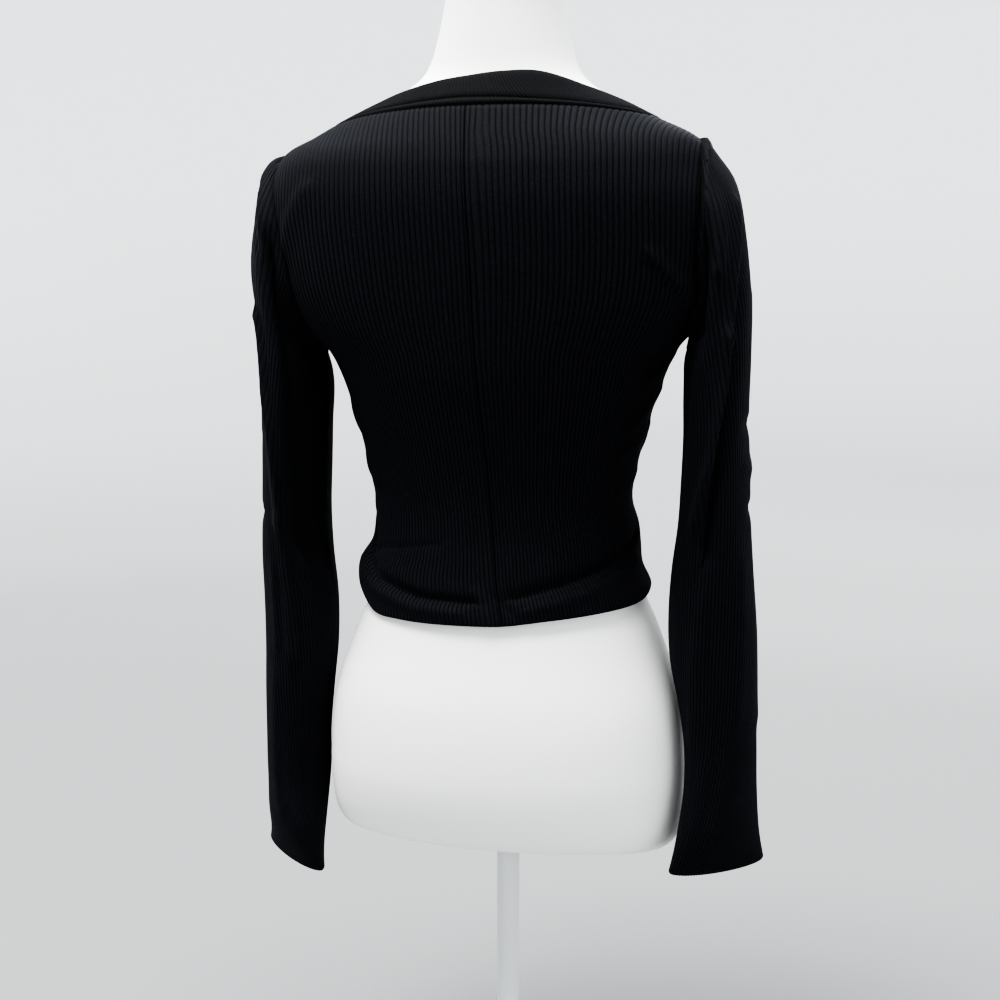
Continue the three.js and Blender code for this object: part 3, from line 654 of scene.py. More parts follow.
def body_panel(name, first, last, rows):
    """Panel between two angles as a wall of ribbed cloth, with its armholes still uncut."""
    ribs = round((last - first) / 90 * BODY_RIBS)
    places, heights = rib_columns(ribs, False)
    paths = []
    for place in places:
        raw = first + (last - first) * place / ribs
        turned = raw - 360 if raw > 180 else raw
        if raw == 180:
            turned = CENTRE_FRONT
        if place == 0:
            turned += SIDE_GAP_DEGREES
        if place == ribs:
            turned -= SIDE_GAP_DEGREES
        paths.append(rib_path(turned))
    angles, zs, stations, lengths = [], [], [], []
    for k, (angle, z, on_shoulder) in enumerate(paths):
        beside = [path[2] for path in paths[max(k - 1, 0):k + 2]]
        corner = None
        if any(beside) and not on_shoulder:
            corner = len(z) - 1
            angle, z = on_to_shoulder(angle, z)
        angle, z, station, length = panel_rows(angle, z, rows, corner)
        angles.append(angle)
        zs.append(z)
        stations.append(station)
        lengths.append(length)
    angle, z, station = (np.array(part).T for part in (angles, zs, stations))
    length = np.array(lengths)[None, :]
    base = cloth_point(angle, z)
    normal = cloth_normal(angle, z)
    from_first, from_last = row_distance(base)
    out = RIB_RISE * np.broadcast_to(heights, angle.shape).copy()
    out -= dip(from_first, *PANEL_SEAM_DIP)
    out -= dip(from_last, *PANEL_SEAM_DIP)
    out -= dip(station, *HEM_DIP)
    out -= dip(length - station, *NECK_DIP)
    out -= dip(armhole_distance(base), *ARMHOLE_DIP)
    out = np.maximum(out, -CLOTH_WALL + THINNEST_CLOTH)
    outer = base + normal * out[..., None]
    inner_out = -CLOTH_WALL + dip(station, *INNER_DIP)
    inner = (base + normal * inner_out[..., None])[:, ::RIB_POINTS]
    return wall_of_cloth(name, outer, inner, out / RIB_RISE, False)


# Corners of the cutter for an armhole, and the distances from the middle between which it lies
CUTTER_SIDES = 128
CUTTER_REACH = (100, 240)


def armhole_cutter(side):
    hole = ARMHOLES[side]
    sides = CUTTER_SIDES
    turn = np.linspace(0, 2 * math.pi, sides, endpoint=False)
    near, far = CUTTER_REACH
    start, end = (near, far) if side == "left" else (-far, -near)
    rim = np.stack([hole["y"] + hole["deep"] * np.cos(turn), hole["z"] + hole["high"] * np.sin(turn)], 1)
    points = np.concatenate([np.insert(rim, 0, start, axis=1), np.insert(rim, 0, end, axis=1)])
    faces = [[k, (k + 1) % sides, sides + (k + 1) % sides, sides + k] for k in range(sides)]
    faces += [list(range(sides))[::-1], list(range(sides, 2 * sides))]
    return add_mesh("armhole_cutter", points, faces)


def cut_armhole(panel, side):
    cutter = armhole_cutter(side)
    modifier = panel.modifiers.new("armhole", "BOOLEAN")
    modifier.operation = "DIFFERENCE"
    modifier.solver = "EXACT"
    modifier.object = cutter
    bpy.context.view_layer.update()
    evaluated = panel.evaluated_get(bpy.context.evaluated_depsgraph_get())
    mesh = bpy.data.meshes.new_from_object(evaluated)
    panel.modifiers.clear()
    panel.data = mesh
    bpy.data.objects.remove(cutter)
    mesh.shade_smooth()
    mesh.set_sharp_from_angle(angle=math.radians(SHARP_DEGREES))


def cloth_side(side, y, z):
    """X of the cloth's outer face at a depth and height, for the armhole seam."""
    middle = ring("middle", z)
    power = ring("power", z)
    back = ring("back", z)
    front = ring("front", z)
    deep = np.where(y > middle, (y - middle) / (back - middle), (middle - y) / (front + middle))
    return ring(side, z) * (1 - np.abs(deep) ** power) ** (1 / power)


def smooth_rows(control, spacing):
    """Rows of points every so often along a smooth curve through the control rows."""
    steps = np.linalg.norm(np.diff(control, axis=0), axis=2).mean(axis=1)
    at = np.concatenate([[0], np.cumsum(steps)])
    stations = edge_to_edge(at[-1], max(int(at[-1] / spacing), 2))
    return smooth(at, control, stations), stations


# How far a sleeve's second row stands out from its first at the underarm, and how much more at the top
UNDERARM_RISE = 1.5
CAP_RISE = 5


def sleeve_grid(side, table):
    """Smooth surface of a left sleeve, row by row from the seam, each row in even steps round."""
    hole = ARMHOLES[side]
    angle = np.radians(np.linspace(0, 360, SLEEVE_TURNS + 1))
    rim_y = hole["y"] + (hole["deep"] - SLEEVE_SEAM_GAP) * np.sin(angle)
    rim_z = hole["z"] + (hole["high"] - SLEEVE_SEAM_GAP) * np.cos(angle)
    rim_x = cloth_side(side, rim_y, rim_z) - SLEEVE_INSET
    seam = np.stack([rim_x, rim_y, rim_z], 1)
    rise = UNDERARM_RISE + CAP_RISE * (1 + np.cos(angle)) / 2
    collar = seam + rise[:, None] * [1, 0, 0]
    full_y = hole["y"] + hole["deep"] * np.sin(angle)
    full_z = hole["z"] + hole["high"] * np.cos(angle)
    full_x = cloth_side(side, full_y, full_z)
    top = full_x[0]
    low = full_x[SLEEVE_TURNS // 2]
    bulge = full_x - ((top + low) / 2 + (top - low) / 2 * np.cos(angle))
    control = [seam, collar]
    for k in range(len(table["y"])):
        here = {key: value[k] for key, value in table.items()}
        half_x = (here["out_x"] - here["in_x"]) / 2
        half_z = (here["out_z"] - here["in_z"]) / 2
        turn = math.radians(here["turn"])
        local_x = half_x * np.cos(angle)
        local_y = here["deep"] * np.sin(angle)
        x = local_x * math.cos(turn) - local_y * math.sin(turn)
        y = local_x * math.sin(turn) + local_y * math.cos(turn)
        x = x + here["follow"] * bulge + (here["out_x"] + here["in_x"]) / 2
        z = half_z * np.cos(angle) + (here["out_z"] + here["in_z"]) / 2
        control.append(np.stack([x, y + here["y"], z], 1))
    rows, stations = smooth_rows(np.array(control), SLEEVE_ROW_SPACING)
    even, turns = [], []
    for row in rows:
        arc = distance_along(row)
        place = np.linspace(0, arc[-1], SLEEVE_TURNS + 1)[:-1]
        even.append(np.stack([np.interp(place, arc, row[:, axis]) for axis in range(3)], 1))
        turns.append(np.interp(place, arc, angle))
    turns = np.array(turns)
    grid = np.concatenate([np.array(even), np.cos(turns)[..., None], np.sin(turns)[..., None]], -1)
    return grid, stations


def sample(grid, column, row):
    """Values between the points of a grid that closes on itself across its columns."""
    wide = grid.shape[1]
    left = np.floor(column).astype(int)
    low = np.clip(np.floor(row).astype(int), 0, len(grid) - 2)
    across = (column - left)[..., None]
    down = (row - low)[..., None]
    near = grid[low, left % wide] * (1 - across) + grid[low, (left + 1) % wide] * across
    far = grid[low + 1, left % wide] * (1 - across) + grid[low + 1, (left + 1) % wide] * across
    return near * (1 - down) + far * down


# The ribs of a sleeve's head run up and in towards the shoulder
HEAD_DIRECTION = np.array([-0.16, 0, 1])
HEAD_FROM = 610.0
HEAD_FULL = 700.0

# They are followed up from a little below the head: step, most steps and least part of a row in each
FLOW_FROM = HEAD_FROM - 15
FLOW_STEP = 2.0
FLOW_STEPS = 260
LEAST_ROWS = 0.02

# Rows of the finished sleeve near the seam and near the cuff, counted in rows of its grid
SEAM_ROWS = np.array([0, 0.25, 0.55, 0.9, 1.3, 1.9, 2.6, 3.3])
CUFF_ROWS = np.array([2.6, 2, 1.4, 1, 0.6, 0.3, 0])

# Distance from the seam over which the creases grow to their height
CREASES_GROW = 12


def rib_paths(grid, start_columns):
    """Columns and rows that each rib passes, from the seam down to where the arm is even."""
    level = grid[:, :, 2].mean(axis=1)
    start_row = float(np.argmax(level < FLOW_FROM))
    column = np.array(start_columns, float)
    row = np.full(column.shape, start_row)
    path = [(column, row)]
    for _ in range(FLOW_STEPS):
        here = sample(grid, column, row)[:, :3]
        along_row = (sample(grid, column + 0.5, row) - sample(grid, column - 0.5, row))[:, :3]
        up_row = np.maximum(row - 0.5, 0)
        along_column = (sample(grid, column, up_row + 0.5) - sample(grid, column, up_row))[:, :3] * 2
        share = np.clip((here[:, 2] - HEAD_FROM) / (HEAD_FULL - HEAD_FROM), 0, 1)[:, None]
        share = share * share * (3 - 2 * share)
        aim = share * unit(HEAD_DIRECTION) - (1 - share) * unit(along_column)
        cc = (along_row * along_row).sum(1)
        rr = (along_column * along_column).sum(1)
        cr = (along_row * along_column).sum(1)
        ca = (along_row * aim).sum(1)
        ra = (along_column * aim).sum(1)
        scale = np.maximum(cc * rr - cr * cr, 1e-9)
        step_column = (ca * rr - ra * cr) / scale
        step_row = (ra * cc - ca * cr) / scale
        move = along_row * step_column[:, None] + along_column * step_row[:, None]
        size = FLOW_STEP / np.maximum(np.linalg.norm(move, axis=1), 1e-6)
        alive = row > 0
        new_row = row + np.where(alive, step_row * size, 0)
        new_row = np.minimum(new_row, row - np.where(alive, LEAST_ROWS, 0))
        part = np.where(new_row < 0, row / np.maximum(row - new_row, 1e-9), 1)
        column = column + np.where(alive, step_column * size * part, 0)
        row = np.where(alive, np.maximum(new_row, 0), row)
        path.append((column, row))
        if not (row > 0).any():
            break
    columns_passed = np.array([place[0] for place in path])[::-1]
    rows_passed = np.array([place[1] for place in path])[::-1]
    return columns_passed, rows_passed


def sleeve_surface(side, table):
    """Points of a left sleeve along its ribs, with angles, normals and distances from its ends."""
    grid, stations = sleeve_grid(side, table)
    places, heights = rib_columns(SLEEVE_RIBS, True)
    start_columns = SLEEVE_TURNS * places / SLEEVE_RIBS
    columns_passed, rows_passed = rib_paths(grid, start_columns)
    below = np.arange(rows_passed[-1].max() + 1, len(grid))
    columns_passed = np.concatenate([columns_passed, np.tile(columns_passed[-1], (len(below), 1))])
    rows_passed = np.concatenate([rows_passed, np.tile(below[:, None], (1, len(places)))])
    line = sample(grid, columns_passed, np.minimum(rows_passed, len(grid) - 1))[..., :3]
    run = np.linalg.norm(np.diff(line, axis=0), axis=2)
    run = np.concatenate([np.zeros((1, len(places))), np.cumsum(run, axis=0)])
    cuff_rows = len(grid) - 1 - CUFF_ROWS
    middle = np.linspace(EVEN_FROM, cuff_rows[0] - 1, SLEEVE_ROWS - len(SEAM_ROWS) - len(cuff_rows))
    levels = np.concatenate([SEAM_ROWS, middle, cuff_rows])
    column_at, to_cuff = [], []
    for k in range(len(places)):
        column_at.append(np.interp(levels, rows_passed[:, k], columns_passed[:, k]))
        to_cuff.append(run[-1, k] - np.interp(levels, rows_passed[:, k], run[:, k]))
    column_at, to_cuff = np.array(column_at).T, np.array(to_cuff).T
    row_at = np.broadcast_to(levels[:, None], column_at.shape)
    values = sample(grid, column_at, row_at)
    base = values[..., :3]
    degrees = np.degrees(np.arctan2(values[..., 4], values[..., 3]))
    from_seam = np.interp(row_at, np.arange(len(stations)), stations)
    around = np.roll(base, -1, axis=1) - np.roll(base, 1, axis=1)
    down = np.gradient(base, axis=0)
    normal = unit(np.cross(around, -down))
    outward = base - base.mean(axis=1, keepdims=True)
    normal = normal * np.sign((normal * outward).sum(-1, keepdims=True) + 1e-9)
    return degrees, heights, base, normal, from_seam, to_cuff


def sleeve(name, side, table, folds):
    """Sleeve of ribbed cloth with its creases."""
    degrees, heights, base, normal, from_seam, to_cuff = sleeve_surface(side, table)
    rise = fold_rise(folds, degrees, base[..., 2], SLEEVE_FOLD_RADIUS)
    rise *= 1 - dip(from_seam, CREASES_GROW, 1)
    rib = SLEEVE_RIB_RISE * heights[None, :] - dip(from_seam, *SLEEVE_SEAM_DIP) - dip(to_cuff, *HEM_DIP)
    outer = base + normal * (rise + rib)[..., None]
    inner_out = rise - CLOTH_WALL + dip(to_cuff, *INNER_DIP)
    inner = (base + normal * inner_out[..., None])[:, ::RIB_POINTS]
    if side == "right":
        outer = outer * [-1, 1, 1]
        inner = inner * [-1, 1, 1]
    return wall_of_cloth(name, outer, inner, rib / SLEEVE_RIB_RISE, True)


# Neckband: distances of its rows at the seam and round the stitches, and the shares of the rest
STITCH_ABOVE_SEAM = 7.0
BAND_SEAM_ROWS = np.array([0, 0.6, 1.3, 2.2, 3.8])
BAND_STITCH_ROWS = np.array([-1.4, -0.7, 0, 0.7, 1.4])
BAND_REST_ROWS = np.array([0.2, 0.4, 0.6, 0.8, 0.92, 1])
BAND_POINTS = 120

# Where its fold starts, how far the fold bulges, and where its inner face starts and ends
BAND_FOLD_FROM = 0.94
FOLD_BULGE = 0.15
BAND_INNER_START = 0.06
BAND_INNER_END = 0.2


def band_grid():
    """Angles, heights and distances above the seam of the neckband's outer face."""
    places, heights = rib_columns(BAND_RIBS, True)
    angle = 360 * places / BAND_RIBS - 180
    low = edge("neck", angle)
    high = edge("band_top", angle)
    steep = np.linalg.norm(cloth_point(angle, low + 1) - cloth_point(angle, low), axis=1)
    low = low + SEAM_GAP / steep
    fine = low + (high - low) * np.linspace(0, 1, BAND_POINTS)[:, None]
    run = np.linalg.norm(np.diff(cloth_point(np.broadcast_to(angle, fine.shape), fine), axis=0), axis=2)
    run = np.concatenate([[0 * low], np.cumsum(run, axis=0)])
    near = np.concatenate([BAND_SEAM_ROWS, STITCH_ABOVE_SEAM + BAND_STITCH_ROWS])
    z = []
    for k in range(len(low)):
        end = BAND_FOLD_FROM * run[-1, k]
        at = np.concatenate([near, near[-1] + (end - near[-1]) * BAND_REST_ROWS])
        z.append(np.interp(at, run[:, k], fine[:, k]))
    z = np.array(z).T
    angle = np.broadcast_to(angle, z.shape)
    base = cloth_point(angle, z)
    above = np.linalg.norm(np.diff(base, axis=0), axis=2)
    above = np.concatenate([np.zeros((1, z.shape[1])), np.cumsum(above, axis=0)])
    return angle, z, base, above, heights


def neckband(name):
    """Folded strip round the neck, rounded where it meets its seam and at its fold."""
    angle, z, base, above, heights = band_grid()
    normal = cloth_normal(angle, z)
    out = BAND_RIB_RISE * heights * np.ones(z.shape) + BAND_RISE
    out -= dip(above, *BAND_SEAM_DIP) + dip(above - STITCH_ABOVE_SEAM, *STITCH_DIP)
    out -= dip(above[-1:, :] - above, *BAND_FOLD_DIP)
    outer = base + normal * out[..., None]
    top_z = edge("band_top", angle[0])
    fold = cloth_point(angle[0], top_z) + cloth_normal(angle[0], top_z) * (RIB_RISE - BAND_THICKNESS / 2)
    fold = fold + (fold - outer[-1]) * FOLD_BULGE
    outer = np.concatenate([outer, fold[None]])
    # Painted shade of the band: its colour follows its height, scaled down so the whole band comes out
    # darker
    shade_from_height = np.concatenate([out, out[-1:]]) * BAND_SHADE_SCALE
    inner_z = z.copy()
    inner_z[0] += BAND_INNER_START * (top_z - z[0])
    inner_z = np.concatenate([inner_z, (z[-1] + BAND_INNER_END * (top_z - z[-1]))[None]])
    inner_angle = np.concatenate([angle, angle[:1]])
    inward = cloth_normal(inner_angle, inner_z) * (RIB_RISE - BAND_THICKNESS)
    inner = cloth_point(inner_angle, inner_z) + inward
    return wall_of_cloth(name, outer, inner[:, ::RIB_POINTS], shade_from_height, True)


def tube_along(path, normal, radius, sides=6):
    """Points and faces of a short thread through places on the cloth."""
    along = unit(np.gradient(path, axis=0))
    side = unit(np.cross(along, normal))
    turn = np.linspace(0, 2 * math.pi, sides, endpoint=False)
    round_path = side[:, None] * np.cos(turn)[:, None] + normal[:, None] * np.sin(turn)[:, None]
    points = (path[:, None] + round_path * np.array(radius)[:, None, None]).reshape(-1, 3)
    faces = quads(len(path), sides, True)
    faces += [list(range(sides))[::-1], [(len(path) - 1) * sides + k for k in range(sides)]]
    return points, faces


# One stitch: how long it is with its gap, and the places, heights and radii of its thread
STITCH_PITCH = 3.0
STITCH_PLACES = np.array([0.14, 0.22, 0.5, 0.78, 0.86])
STITCH_LIFT = np.array([0.2, 0.62, 0.85, 0.62, 0.2])
STITCH_RADIUS = [0.12, 0.24, 0.26, 0.24, 0.12]
STITCH_LINE_POINTS = 4001


def stitches(name):
    """Topstitching on the neckband, a row of short threads above its seam."""
    turn = np.linspace(-180, 180, STITCH_LINE_POINTS)
    low = edge("neck", turn)
    steep = np.linalg.norm(cloth_point(turn, low + 1) - cloth_point(turn, low), axis=1)
    z = low + STITCH_ABOVE_SEAM / steep
    length = distance_along(cloth_point(turn, z))
    count = int(length[-1] / STITCH_PITCH)
    points, faces = [], []
    start = 0
    for k in range(count):
        at = length[-1] * (k + STITCH_PLACES) / count
        angle = np.interp(at, length, turn)
        height = np.interp(at, length, z)
        normal = cloth_normal(angle, height)
        path = cloth_point(angle, height) + normal * STITCH_LIFT[:, None]
        tube_points, tube_faces = tube_along(path, normal, STITCH_RADIUS)
        points.append(tube_points)
        faces += [[start + index for index in face] for face in tube_faces]
        start += len(tube_points)
    return add_mesh(name, np.concatenate(points), faces)


def dress_form(name):
    """Smooth form with a flat neck top, a rounded underside and a fine seam at each side."""
    rings = FORM_RINGS
    step = np.hypot(np.diff(rings["z"]), np.diff(rings["back"]))
    at = np.concatenate([[0], np.cumsum(step)])
    table = dict(rings, at=at)
    station = np.linspace(0, at[-1], FORM_ROWS)
    here = {key: read(table, "at", key, station)[:, None] for key in rings}
    turn = (2 * math.pi * np.arange(FORM_COLUMNS) / FORM_COLUMNS)[None, :]
    middle = (here["back"] - here["front"]) / 2
    half_y = (here["back"] + here["front"]) / 2
    power = 2 / here["power"]
    seam = (np.arange(FORM_COLUMNS) % (FORM_COLUMNS // 2) == FORM_SEAM_COLUMN)[None, :]
    x = (here["side"] - FORM_SEAM_DEPTH * seam) * signed_power(np.cos(turn), power)
    y = middle + half_y * signed_power(np.sin(turn), power)
    z = here["z"] + 0 * turn
    points = np.stack([x, y, z], -1)
    rows, wide = x.shape
    faces = quads(rows, wide, True)
    faces += [list(range(wide))[::-1], list(range((rows - 1) * wide, rows * wide))]
    return add_mesh(name, points.reshape(-1, 3), faces, sharp_degrees=50)


ROUND_SIDES = 96


def revolve(profile):
    """Points and faces turned from places (radius, height), of which the first is on the axis."""
    points = [(0, 0, profile[0][1])]
    for radius, height in profile[1:]:
        for k in range(ROUND_SIDES):
            turn = 2 * math.pi * k / ROUND_SIDES
            points.append((radius * math.cos(turn), radius * math.sin(turn), height))
    fan = [[0, 1 + (k + 1) % ROUND_SIDES, 1 + k] for k in range(ROUND_SIDES)]
    return points, fan + quads(len(profile) - 1, ROUND_SIDES, True, start=1)


def lathe(name, profile):
    """Solid of revolution; the first and last places of its profile are on the axis."""
    points, faces = revolve(profile[:-1])
    end = len(points)
    last = end - ROUND_SIDES
    faces += [[last + k, last + (k + 1) % ROUND_SIDES, end] for k in range(ROUND_SIDES)]
    points.append((0, 0, profile[-1][1]))
    return add_mesh(name, np.array(points, float), faces, sharp_degrees=40)


def rounded(radius_in, height_in, radius_out, height_out, steps=5):
    """Quarter-round corner from one place of a profile to another, bulging outward."""
    turn = np.linspace(0, math.pi / 2, steps + 1)
    if height_out > height_in and radius_out > radius_in:
        across, up = np.sin(turn), 1 - np.cos(turn)
    else:
        across, up = 1 - np.cos(turn), np.sin(turn)
    return [
        (radius_in + (radius_out - radius_in) * a, height_in + (height_out - height_in) * u)
        for a, u in zip(across, up)
    ]


def base_profile():
    """Disc with both rims rounded."""
    radius, thickness, corner = 155.0, 11.7, 3.0
    return (
        [(0, 0)]
        + rounded(radius - corner, 0, radius, corner)
        + rounded(radius, thickness - corner, radius - corner, thickness)
        + [(0, thickness)]
    )


def pole_profile():
    """Tube with a rounded flange on the base and a bevelled collar under the form."""
    bottom, flange, flange_rim, corner, tube = 12.0, 24, 5, 5, 10
    top = float(FORM_RINGS["z"][0]) - SEAM_GAP
    collar, collar_high, bevel = 14, 8, 0.8
    round_from, round_to = bottom + flange_rim, bottom + flange_rim + corner
    return (
        [(0, bottom), (flange, bottom), (flange, round_from)]
        + rounded(flange, round_from, flange - corner, round_to)
        + [(tube, round_to), (tube, top - collar_high), (collar - bevel, top - collar_high)]
        + [(collar, top - collar_high + bevel), (collar, top - bevel), (collar - bevel, top), (0, top)]
    )


def principled(name, color, roughness):
    material = bpy.data.materials.new(name)
    material.use_nodes = True
    shader = material.node_tree.nodes["Principled BSDF"]
    shader.inputs["Base Color"].default_value = (*color, 1)
    shader.inputs["Roughness"].default_value = roughness
    return material, shader


def add_bump(material, shader, scale, detail, strength, distance, stretch=(1, 1, 1)):
    """Fine uneven surface from a noise in the object's own space."""
    nodes, links = material.node_tree.nodes, material.node_tree.links
    place = nodes.new("ShaderNodeTexCoord")
    mapping = nodes.new("ShaderNodeMapping")
    mapping.inputs["Scale"].default_value = stretch
    noise = nodes.new("ShaderNodeTexNoise")
    noise.inputs["Scale"].default_value = scale
    noise.inputs["Detail"].default_value = detail
    bump = nodes.new("ShaderNodeBump")
    bump.inputs["Strength"].default_value = strength
    bump.inputs["Distance"].default_value = distance
    links.new(place.outputs["Object"], mapping.inputs["Vector"])
    links.new(mapping.outputs["Vector"], noise.inputs["Vector"])
    links.new(noise.outputs["Fac"], bump.inputs["Height"])
    links.new(bump.outputs["Normal"], shader.inputs["Normal"])
    return noise


def rib_knit():
    """Near-black knit: fuzz by a fine noise, and painted shade that makes the grooves, seams and edges
    of the ribs darker than their crests.
    """
    material, shader = principled("rib_knit", (0.0072, 0.0076, 0.0098), 0.78)
    shader.inputs["Specular IOR Level"].default_value = 0.16
    shader.inputs["Sheen Weight"].default_value = 0.03
    shader.inputs["Sheen Roughness"].default_value = 0.5
    shader.inputs["Sheen Tint"].default_value = (0.8, 0.85, 1, 1)
    noise = add_bump(
        material, shader, scale=900, detail=3, strength=0.45, distance=0.0003, stretch=(1, 1, 0.6)
    )
    nodes, links = material.node_tree.nodes, material.node_tree.links
    # Painted shade: the base colour is dark in the grooves, seams and edges and middling on the inner
    # face, from the stored shade times the fine noise, which adds uneven tone
    painted_rib_shade = nodes.new("ShaderNodeAttribute")
    painted_rib_shade.attribute_name = "painted_rib_shade"
    shade = nodes.new("ShaderNodeMath")
    shade.operation = "MULTIPLY"
    ramp = nodes.new("ShaderNodeValToRGB")
    ramp.color_ramp.elements[0].position = 0.05
    ramp.color_ramp.elements[0].color = (0.0008, 0.0009, 0.0014, 1)
    ramp.color_ramp.elements[1].position = 0.62
    ramp.color_ramp.elements[1].color = (0.0094, 0.0103, 0.0146, 1)
    links.new(painted_rib_shade.outputs["Fac"], shade.inputs[0])
    links.new(noise.outputs["Fac"], shade.inputs[1])
    links.new(shade.outputs["Value"], ramp.inputs["Fac"])
    links.new(ramp.outputs["Color"], shader.inputs["Base Color"])
    return material


def form_cover():
    material, shader = principled("form_cover", (0.87, 0.87, 0.85), 0.82)
    shader.inputs["Specular IOR Level"].default_value = 0.25
    add_bump(material, shader, scale=1400, detail=2, strength=0.25, distance=0.0002, stretch=(1, 1, 0.5))
    return material


def stand_paint():
    material, shader = principled("stand_paint", (0.62, 0.64, 0.64), 0.34)
    add_bump(material, shader, scale=260, detail=2, strength=0.06, distance=0.0001)
    return material


LIT_PLACE = (0, 0, 0.65)


def area_light(name, place, size, power, color):
    """Round soft lamp turned towards the middle of the garment."""
    data = bpy.data.lights.new(name, "AREA")
    data.shape = "DISK"
    data.size = size
    data.energy = power
    data.color = color
    lamp = bpy.data.objects.new(name, data)
    lamp.location = place
    lamp.rotation_euler = (Vector(LIT_PLACE) - Vector(place)).to_track_quat("-Z", "Y").to_euler()
    bpy.context.scene.collection.objects.link(lamp)


# Backdrop in millimetres: level and radius of the floor, radius of its bend, and the rim
FLOOR_LEVEL = -0.5
FLOOR_RADIUS = 2200
BEND_RADIUS = 1400
BEND_TURNS = np.linspace(0.1, 1.45, 14)
RIM_HEIGHT = 1700

# Distance in metres from the base to the backdrop's upper edge, and its grey along that distance:
# painted shade that keeps the floor darker near the stand and pales towards the rim
BACKDROP_REACH = 4.0
BACKDROP_SHADE_GREYS = ((0.35, 0.32), (0.55, 0.43), (0.68, 0.55), (0.80, 0.72), (0.90, 0.86))


def backdrop_grey(value):
    return (value, value * 1.01, value * 1.02, 1)


def backdrop():
    """Round floor that rises at its rim, with painted shade: darker near the middle and paler towards
    the rim.
    """
    profile = [(0, FLOOR_LEVEL), (FLOOR_RADIUS, FLOOR_LEVEL)]
    for turn in BEND_TURNS:
        up = BEND_RADIUS * (1 - math.cos(turn))
        profile.append((FLOOR_RADIUS + BEND_RADIUS * math.sin(turn), FLOOR_LEVEL + up))
    profile.append((FLOOR_RADIUS + BEND_RADIUS, RIM_HEIGHT))
    points, faces = revolve(profile)
    mesh = bpy.data.meshes.new("backdrop")
    mesh.from_pydata((np.array(points) * MM).tolist(), [], [face[::-1] for face in faces])
    mesh.shade_smooth()
    floor = bpy.data.objects.new("backdrop", mesh)
    bpy.context.scene.collection.objects.link(floor)
    material, shader = principled("backdrop", (0.66, 0.675, 0.69), 0.9)
    nodes, links = material.node_tree.nodes, material.node_tree.links
    place = nodes.new("ShaderNodeTexCoord")
    away = nodes.new("ShaderNodeVectorMath")
    away.operation = "LENGTH"
    share = nodes.new("ShaderNodeMath")
    share.operation = "DIVIDE"
    share.inputs[1].default_value = BACKDROP_REACH
    # Painted shade: the grey runs from dark by the stand to pale at the rim, over the distance from the
    # middle
    ramp = nodes.new("ShaderNodeValToRGB")
    tones = ramp.color_ramp.elements
    tones[0].position, tones[0].color = 0.1, backdrop_grey(0.27)
    tones[1].position, tones[1].color = 1.0, backdrop_grey(0.92)
    for far, grey in BACKDROP_SHADE_GREYS:
        tones.new(far).color = backdrop_grey(grey)
    links.new(place.outputs["Object"], away.inputs[0])
    links.new(away.outputs["Value"], share.inputs[0])
    links.new(share.outputs["Value"], ramp.inputs["Fac"])
    links.new(ramp.outputs["Color"], shader.inputs["Base Color"])
    floor.data.materials.append(material)


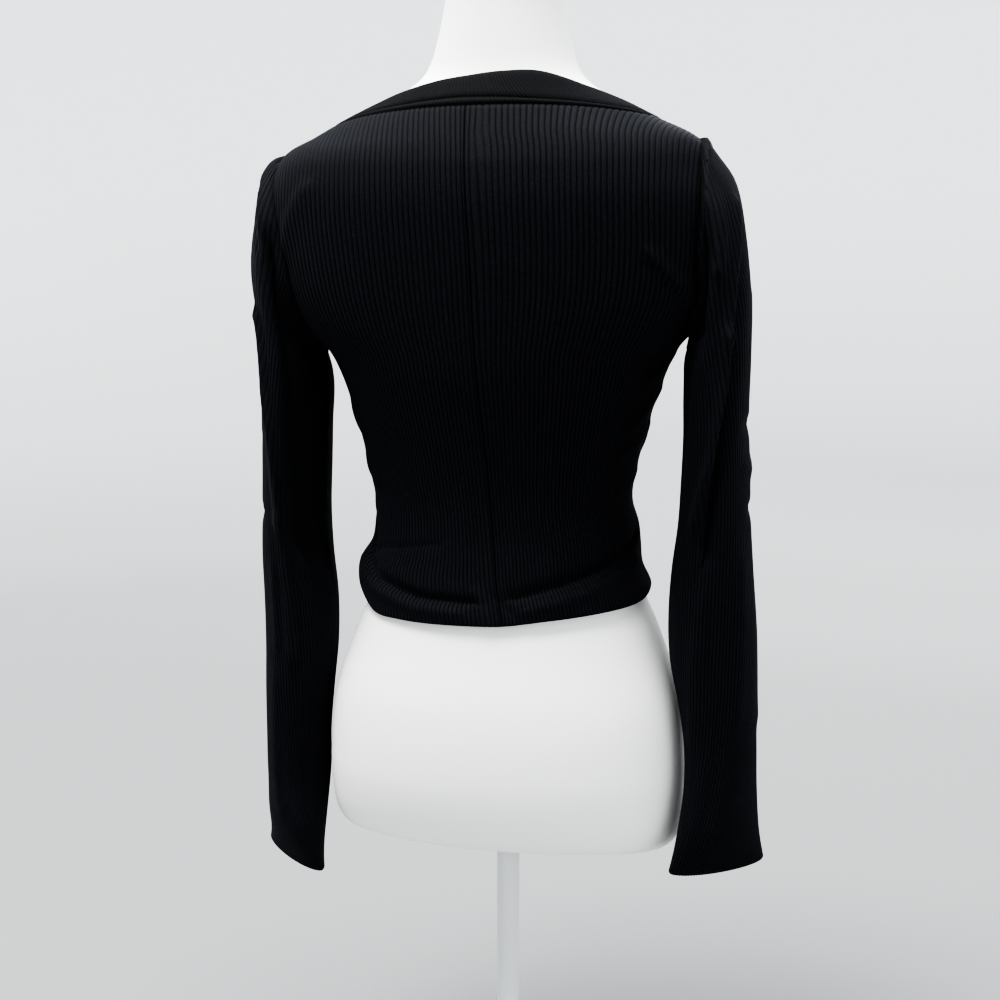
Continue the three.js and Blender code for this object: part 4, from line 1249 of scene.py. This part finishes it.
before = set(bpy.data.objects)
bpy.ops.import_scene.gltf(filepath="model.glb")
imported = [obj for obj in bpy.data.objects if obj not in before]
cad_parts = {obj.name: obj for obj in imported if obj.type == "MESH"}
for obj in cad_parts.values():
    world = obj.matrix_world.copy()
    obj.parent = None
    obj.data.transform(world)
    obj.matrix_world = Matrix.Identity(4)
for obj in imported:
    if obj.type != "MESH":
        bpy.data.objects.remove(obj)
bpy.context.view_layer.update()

made = {
    "back_left": body_panel("back_left_cloth", 0, 90, BACK_ROWS),
    "back_right": body_panel("back_right_cloth", -90, 0, BACK_ROWS),
    "front": body_panel("front_cloth", 90, 270, FRONT_ROWS),
    "sleeve_left": sleeve("sleeve_left_cloth", "left", LEFT_SLEEVE, LEFT_SLEEVE_FOLDS),
    "sleeve_right": sleeve("sleeve_right_cloth", "right", RIGHT_SLEEVE, RIGHT_SLEEVE_FOLDS),
    "neckband": neckband("neckband_cloth"),
    "dress_form": dress_form("form_body"),
    "pole": lathe("stand_pole", pole_profile()),
    "base": lathe("stand_base", base_profile()),
}
cut_armhole(made["back_left"], "left")
cut_armhole(made["back_right"], "right")
cut_armhole(made["front"], "left")
cut_armhole(made["front"], "right")
thread = stitches("neckband_stitches")

finish = {"rib_knit": rib_knit(), "form_cover": form_cover(), "stand_paint": stand_paint()}
slots = {"dress_form": "form_cover", "pole": "stand_paint", "base": "stand_paint"}
for node, piece in made.items():
    slot = slots.get(node, "rib_knit")
    piece.data.materials.clear()
    piece.data.materials.append(finish[slot])
    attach(piece, "root")
    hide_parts(node)
thread.data.materials.append(finish["rib_knit"])
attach(thread, "root")

backdrop()

camera_data = bpy.data.cameras.new("camera")
camera_data.lens = 57.6
camera_data.sensor_width = 36
camera_data.clip_start = 0.05
camera_data.clip_end = 50
camera = bpy.data.objects.new("camera", camera_data)
camera.location = (-0.280, 1.316, 0.800)
target = Vector((0.0071, 0.0015, 0.5628))
camera.rotation_euler = (target - camera.location).to_track_quat("-Z", "Y").to_euler()
bpy.context.scene.collection.objects.link(camera)
bpy.context.scene.camera = camera

# Lamps, in metres and watts
area_light("key", (0.8, 0.7, 3.0), size=1.2, power=68, color=(1, 0.995, 0.98))
area_light("fill", (-2.2, 1.2, 0.7), size=1.6, power=9, color=(0.97, 0.985, 1))
area_light("top", (0.1, 0.2, 2.9), size=1.6, power=62, color=(1, 1, 1))
area_light("front_fill", (-0.4, -2.2, 1.6), size=1.8, power=20, color=(1, 1, 1))

world = bpy.data.worlds.new("world")
bpy.context.scene.world = world
world.use_nodes = True
world.node_tree.nodes["Background"].inputs["Color"].default_value = (0.93, 0.96, 1, 1)
world.node_tree.nodes["Background"].inputs["Strength"].default_value = 0.58
bpy.context.scene.view_settings.view_transform = "AgX"
bpy.context.scene.view_settings.look = "AgX - Very High Contrast"
bpy.context.scene.view_settings.exposure = 0.2
